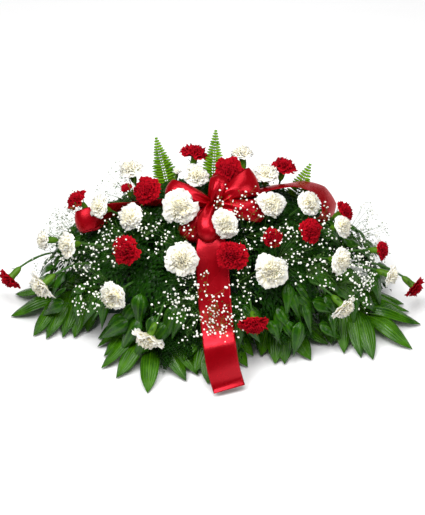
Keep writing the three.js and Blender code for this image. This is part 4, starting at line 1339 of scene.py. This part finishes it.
def floret(form, middle, facing, radius, draw):
    """A tiny double flower: a ball pressed flat, with crinkled petals round it."""
    matrix = Matrix.Translation(middle) @ UP.rotation_difference(facing).to_matrix().to_4x4()
    made = bmesh.ops.create_uvsphere(form, u_segments=7, v_segments=3, radius=1, matrix=Matrix())["verts"]
    for vert in made:
        turn = atan2(vert.co.y, vert.co.x)
        ring = hypot(vert.co.x, vert.co.y)
        petal_cut = 1 + FLORET_CRINKLE * ring * cos(3.5 * turn + 4 * vert.co.z)
        petal_cut += draw.uniform(-FLORET_UNEVEN, FLORET_UNEVEN)
        vert.co = Vector((vert.co.x * petal_cut, vert.co.y * petal_cut, FLORET_DEPTH * vert.co.z)) * radius
    bmesh.ops.transform(form, matrix=matrix, verts=made)


def breath_cluster(florets, twigs, fork, cluster, hub, draw):
    """One airy cluster: a branch that forks into sprigs, each with a few florets."""
    x, y, z, radius, count = cluster
    # At the back more florets are dark buds: painted shade, for the shade those clusters lie in.
    closed = SHADE_BUDS_BEHIND if y > BEHIND else BUDS
    middle = Vector((x, y, z))
    outward = (middle - hub).normalized()
    node = middle - outward * radius * CLUSTER_DEPTH
    flower_part = new_form()
    twig_part = new_form()
    arch = fork.lerp(node, 0.5) + UP * BRANCH_ARCH
    branch = curve_points([fork, arch, node], len(BRANCH_RADII) - 1)
    tube(twig_part, branch, BRANCH_RADII, 5)
    for _ in range(count * SPRIGS_FOR_ONE):
        offset = Vector([draw.gauss(0, 1) for _ in range(3)]).normalized()
        offset *= draw.random() ** CLUSTER_FILL
        offset -= outward * CLUSTER_FLATNESS * offset.dot(outward)
        sprig = middle + offset * (radius * CLUSTER_SPREAD)
        sprig -= outward * radius * draw.uniform(0, SPRIG_DEPTH)
        tube(twig_part, [node, node.lerp(sprig, 0.5) + UP * SPRIG_ARCH, sprig], SPRIG_RADII, 3)
        for _ in range(FLORETS_IN_SPRIG):
            way = Vector([draw.gauss(0, 1) for _ in range(3)]) + outward * STALK_OUTWARD
            way.normalize()
            end = sprig + way * draw.uniform(*STALK_LENGTHS)
            tube(twig_part, [sprig, end], STALK_RADII, 3)
            if draw.random() < closed:
                floret(twig_part, end, way, draw.uniform(*BUD_RADII), draw)
            else:
                floret(flower_part, end + way, way, draw.uniform(*FLORET_RADII), draw)
    append(florets, flower_part)
    append(twigs, twig_part)


def build_breath():
    hub = Vector((0, 0, HUB_Z))
    for i, (name, root, fork, clusters) in enumerate(BREATH):
        florets = new_form()
        twigs = new_form()
        draw = random.Random(BREATH_SEED + i)
        root, fork = Vector(root), Vector(fork)
        tube(twigs, [root, root.lerp(fork, 0.5), fork], ROOT_RADII, 6)
        for cluster in clusters + MORE_BREATH[name]:
            breath_cluster(florets, twigs, fork, cluster, hub, draw)
        node = f"babys_breath_{name}"
        close_piece(f"babys_breath_florets_{name}", florets, FLORET, [node])
        close_piece(f"babys_breath_twigs_{name}", twigs, TWIG, [node])


# Bow

LOOPS = {  # rows of x, up, near, how far the width is turned from edge-on in degrees, and its share
    "long_left": [
        (-44, 200, 222, 50, 0.5), (-110, 200, 196, 18, 0.8), (-176, 198, 184, 8, 0.8),
        (-222, 186, 186, 30, 0.78), (-260, 169, 190, 84, 0.7), (-284, 161, 182, 90, 0.66),
        (-286, 159, 164, 90, 0.66), (-256, 166, 154, 84, 0.7), (-180, 192, 162, 12, 0.8),
        (-50, 194, 204, 50, 0.5),
    ],
    "long_right": [
        (48, 206, 214, 30, 0.5), (112, 228, 190, 8, 0.7), (165, 238, 168, 8, 0.8),
        (204, 237, 150, 20, 0.9), (236, 222, 142, 30, 0.9), (250, 196, 138, 34, 0.9),
        (243, 170, 138, 28, 0.9), (214, 158, 138, 18, 0.8), (150, 168, 150, 10, 0.7),
        (48, 186, 202, 40, 0.5),
    ],
    "up_left": [
        (-26, 208, 246, 90, 0.45), (-58, 218, 250, 90, 0.64), (-84, 224, 246, 90, 0.74),
        (-90, 225, 234, 90, 0.74), (-82, 222, 222, 90, 0.74), (-54, 216, 218, 90, 0.64),
        (-26, 206, 224, 90, 0.45),
    ],
    "up": [
        (6, 214, 250, 90, 0.45), (11, 232, 256, 90, 0.56), (15, 243, 254, 90, 0.62),
        (16, 246, 243, 90, 0.62), (15, 241, 232, 90, 0.62), (11, 228, 226, 90, 0.56),
        (6, 212, 230, 90, 0.45),
    ],
    "up_right": [
        (30, 218, 246, 90, 0.45), (60, 234, 246, 90, 0.75), (82, 244, 236, 90, 0.9),
        (90, 247, 224, 90, 0.9), (82, 243, 210, 90, 0.9), (58, 230, 206, 90, 0.75),
        (28, 214, 220, 90, 0.45),
    ],
    "right": [
        (32, 192, 250, 90, 0.45), (66, 186, 252, 90, 0.62), (94, 184, 244, 90, 0.72),
        (103, 184, 232, 90, 0.72), (94, 184, 220, 90, 0.72), (64, 186, 214, 90, 0.6),
        (32, 190, 224, 90, 0.4),
    ],
    "hanging": [
        (-8, 182, 262, 90, 0.42), (-13, 158, 276, 90, 0.58), (-11, 138, 278, 90, 0.62),
        (-9, 130, 268, 90, 0.62), (-9, 136, 256, 90, 0.62), (-8, 156, 246, 90, 0.58),
        (-4, 182, 240, 90, 0.42),
    ],
    "down_left": [
        (-18, 176, 238, 90, 0.45), (-38, 152, 240, 90, 0.68), (-50, 136, 234, 90, 0.75),
        (-53, 131, 222, 90, 0.75), (-49, 136, 212, 90, 0.75), (-34, 152, 208, 90, 0.65),
        (-16, 176, 216, 90, 0.4),
    ],
}
STREAMER = [  # x, up, near and turn, from the knot down to its cut end
    (1, 180, 226, 90), (-2, 144, 246, 90), (-2, 96, 258, 90), (2, 34, 256, 90), (6, -24, 255, 90),
    (12, -76, 259, 88), (16, -108, 266, 86), (22, -146, 257, 84), (32, -183, 239, 80),
    (36, -196, 241, 80),
]
STREAMER_GATHERED = (14, 50)  # its width at its first two rows, before it is flat
LOOP_END_WIDTH = 12  # where a loop is tied
KNOT_DEPTH = 4  # a loop starts this far before the knot's middle, and ends this far behind it
ROLLED = (0.1, 1.3)  # how far the ribbon's sides roll where it is flat, and the most that they do
LONG_ROLL = 1.3  # how strongly a narrower place of a loop is rolled
SHORT_ROLL = 2.5
STREAMER_ROLL = 1.5
RIBBON_THICKNESS = 0.35  # thinner than its solid
RIBBON_COLUMNS = 20
RIBBON_STEPS = 6  # from each row to the next
GATHERS = 2.5  # pleats across a ribbon where it is pinched
PLEAT_SHIFT = 0.6  # keeps them uneven from side to side
PLEATED = (16, 62)  # the pleats fade out between these distances from the knot
KNOT_COLUMNS = 28
KNOT_ROWS = 18
KNOT_HALF = 17  # half its width
KNOT_RADIUS = 15
KNOT_PLEATS = 0.09  # how deep they are, as a share of the knot's radius
KNOT_FOLDS = 9  # half waves of them from one side of the knot to the other
KNOT_WAVER = 2
PICK = [(0, -30, 150), (-2, -20, 98), (-6, -14, 44)]  # where the wired pick goes, down into the foam
PICK_RADII = [1.7, 1.7, 1.7, 0.6]


def ribbon(name, rows, roll):
    """A strip of satin through rows of place, turn and width, rolled more where it is narrower."""
    places = [row[0] for row in rows]
    halves = []
    broad = None
    for (_, turn, width), heading in zip(rows, headings(places)):
        across = heading.cross(TOWARDS_VIEWER)
        if not broad:
            broad = across.normalized()
        elif across.length > 0.5:
            broad = across.normalized() * copysign(1, across.dot(broad))
        deep = (TOWARDS_VIEWER - heading * heading.dot(TOWARDS_VIEWER)).normalized()
        side = deep * cos(radians(turn)) + broad * sin(radians(turn))
        halves.append(side.normalized() * width / 2)
    steps = RIBBON_STEPS * (len(rows) - 1)
    line = curve_points(places, steps)
    sides = []
    for i in range(steps + 1):
        row, step = divmod(i, RIBBON_STEPS)
        sides.append(halves[row].lerp(halves[min(row + 1, len(rows) - 1)], step / RIBBON_STEPS))
    ways = headings(line)
    length = sum((b - a).length for a, b in zip(line, line[1:]))

    def shape(u, v):
        i = round(v * steps)
        half = sides[i].length
        share = 2 * half / RIBBON_WIDTH
        bend = min(ROLLED[0] + roll * (1 - share), ROLLED[1])
        radius = half / sin(bend)
        bulge = radius * (cos(bend * u) - cos(bend))
        spare = sqrt(max(0.0, RIBBON_WIDTH ** 2 - (2 * radius * bend) ** 2))
        spare *= 1 - ease((line[i] - KNOT).length, *PLEATED)
        pleat = spare / (4 * GATHERS) * sin(GATHERS * pi * u + PLEAT_SHIFT)
        face = ways[i].cross(sides[i]).normalized()
        return line[i] + sides[i] * (sin(bend * u) / sin(bend)) + face * (pleat - bulge)

    form = new_form()
    surface(form, RIBBON_COLUMNS, steps, shape)
    thicken(form, RIBBON_THICKNESS)
    piece = close_piece(name, form, SATIN, ["ribbon_bow"])


def bow_knot():
    """The pinched middle of the bow: ribbon wound tightly round its own pleats."""
    form = new_form()

    def shape(u, v):
        turn = pi * u
        tilt = pi * v
        pleat = 1 + KNOT_PLEATS * sin(KNOT_FOLDS * tilt + KNOT_WAVER * sin(turn)) * sin(tilt)
        across = KNOT_RADIUS * sin(tilt) * pleat
        return KNOT + Vector((-KNOT_HALF * cos(tilt), across * cos(turn), across * sin(turn)))

    closed_surface(form, KNOT_COLUMNS, KNOT_ROWS, shape)
    close_piece("bow_knot", form, SATIN, ["ribbon_bow"])


def build_bow():
    bow_knot()
    for name, rows in LOOPS.items():
        middle = [(seen(x, up, near), turn, share * RIBBON_WIDTH) for x, up, near, turn, share in rows]
        start = (KNOT + TOWARDS_VIEWER * KNOT_DEPTH, rows[0][3], LOOP_END_WIDTH)
        end = (KNOT - TOWARDS_VIEWER * KNOT_DEPTH, rows[-1][3], LOOP_END_WIDTH)
        roll = LONG_ROLL if "long" in name else SHORT_ROLL
        ribbon(f"bow_loop_{name}", [start, *middle, end], roll)
    flat = [RIBBON_WIDTH] * (len(STREAMER) - len(STREAMER_GATHERED))
    widths = [*STREAMER_GATHERED, *flat]
    hanging = [(seen(x, up, near), turn, width) for (x, up, near, turn), width in zip(STREAMER, widths)]
    ribbon("bow_streamer", hanging, STREAMER_ROLL)
    pick = new_form()
    tube(pick, [KNOT, *(Vector(place) for place in PICK)], PICK_RADII, 8)
    close_piece("bow_pick", pick, STEM, ["ribbon_bow"])


# Foam and tray keep their solids, and get their finish.

def finish_solids():
    for node, material in (("floral_foam", foam_finish()), ("saddle_tray", tray_finish())):
        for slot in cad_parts[node].material_slots:
            slot.material = material


# Studio

AIM = Vector((0, 0.056, 0.063))  # the middle of the picture, in metres
FLOOR_HALF = 8
AIR_LIGHT = 0.13
SOFTBOXES = [  # name, place and side in metres, and power
    ("key_softbox", (-1.3, -1.0, 2.6), 1.4, 64),
    ("top_softbox", (0.5, 0.5, 2.8), 1.6, 28),
    ("front_softbox", (0.1, -1.1, 2.6), 1.0, 42),
    ("right_softbox", (2.2, -1.4, 1.5), 1.0, 20),
]
CAMERA_DISTANCE = 8.0
VIEW_HEIGHT = 1.128  # metres from the bottom to the top of the picture, at the spray
SENSOR = 36.0


def build_floor(scene):
    form = bmesh.new()
    bmesh.ops.create_grid(form, x_segments=1, y_segments=1, size=FLOOR_HALF)
    mesh = bpy.data.meshes.new("studio_floor")
    form.to_mesh(mesh)
    form.free()
    paper = Finish("white_paper", Roughness=0.8, Specular_IOR_Level=0.1)
    shade = paper.noise(1.5, 2.0)
    paper.set("Base Color", paper.blend(shade, colour(0.90, 0.90, 0.90), colour(0.93, 0.93, 0.93)))
    mesh.materials.append(paper.material)
    floor = bpy.data.objects.new("studio_floor", mesh)
    scene.collection.objects.link(floor)


def stand(scene, name, data, place, towards):
    """Stands a lamp or the camera at a place in metres, turned one way."""
    made = bpy.data.objects.new(name, data)
    made.location = place
    made.rotation_mode = "QUATERNION"
    made.rotation_quaternion = towards.to_track_quat("-Z", "Y")
    scene.collection.objects.link(made)
    return made


def build_studio():
    scene = bpy.context.scene
    scene.view_settings.view_transform = "Standard"
    build_floor(scene)
    scene.world = bpy.data.worlds.new("studio_air")
    scene.world.use_nodes = True
    air = scene.world.node_tree.nodes["Background"]
    air.inputs["Color"].default_value = colour(1, 1, 1)
    air.inputs["Strength"].default_value = AIR_LIGHT
    for name, place, side, power in SOFTBOXES:
        softbox = bpy.data.lights.new(name, "AREA")
        softbox.shape = "SQUARE"
        softbox.size = side
        softbox.energy = power
        stand(scene, name, softbox, place, AIM - Vector(place))
    lens = bpy.data.cameras.new("photo_camera")
    lens.sensor_width = SENSOR
    lens.lens = SENSOR * CAMERA_DISTANCE / VIEW_HEIGHT
    lens.clip_end = 50
    place = AIM + TOWARDS_VIEWER * CAMERA_DISTANCE
    scene.camera = stand(scene, "photo_camera", lens, place, -TOWARDS_VIEWER)


build_studio()
build_heads()
build_stems()
build_palms()
build_sword_ferns()
flat_fronds = [flat_frond(random.Random(FLAT_FROND_SEED + i)) for i in range(FLAT_FRONDS)]
build_leatherleaf(flat_fronds)
build_filling(flat_fronds)
build_broad_leaves()
for flat in flat_fronds:
    bpy.data.meshes.remove(flat)
build_breath()
build_bow()
finish_solids()
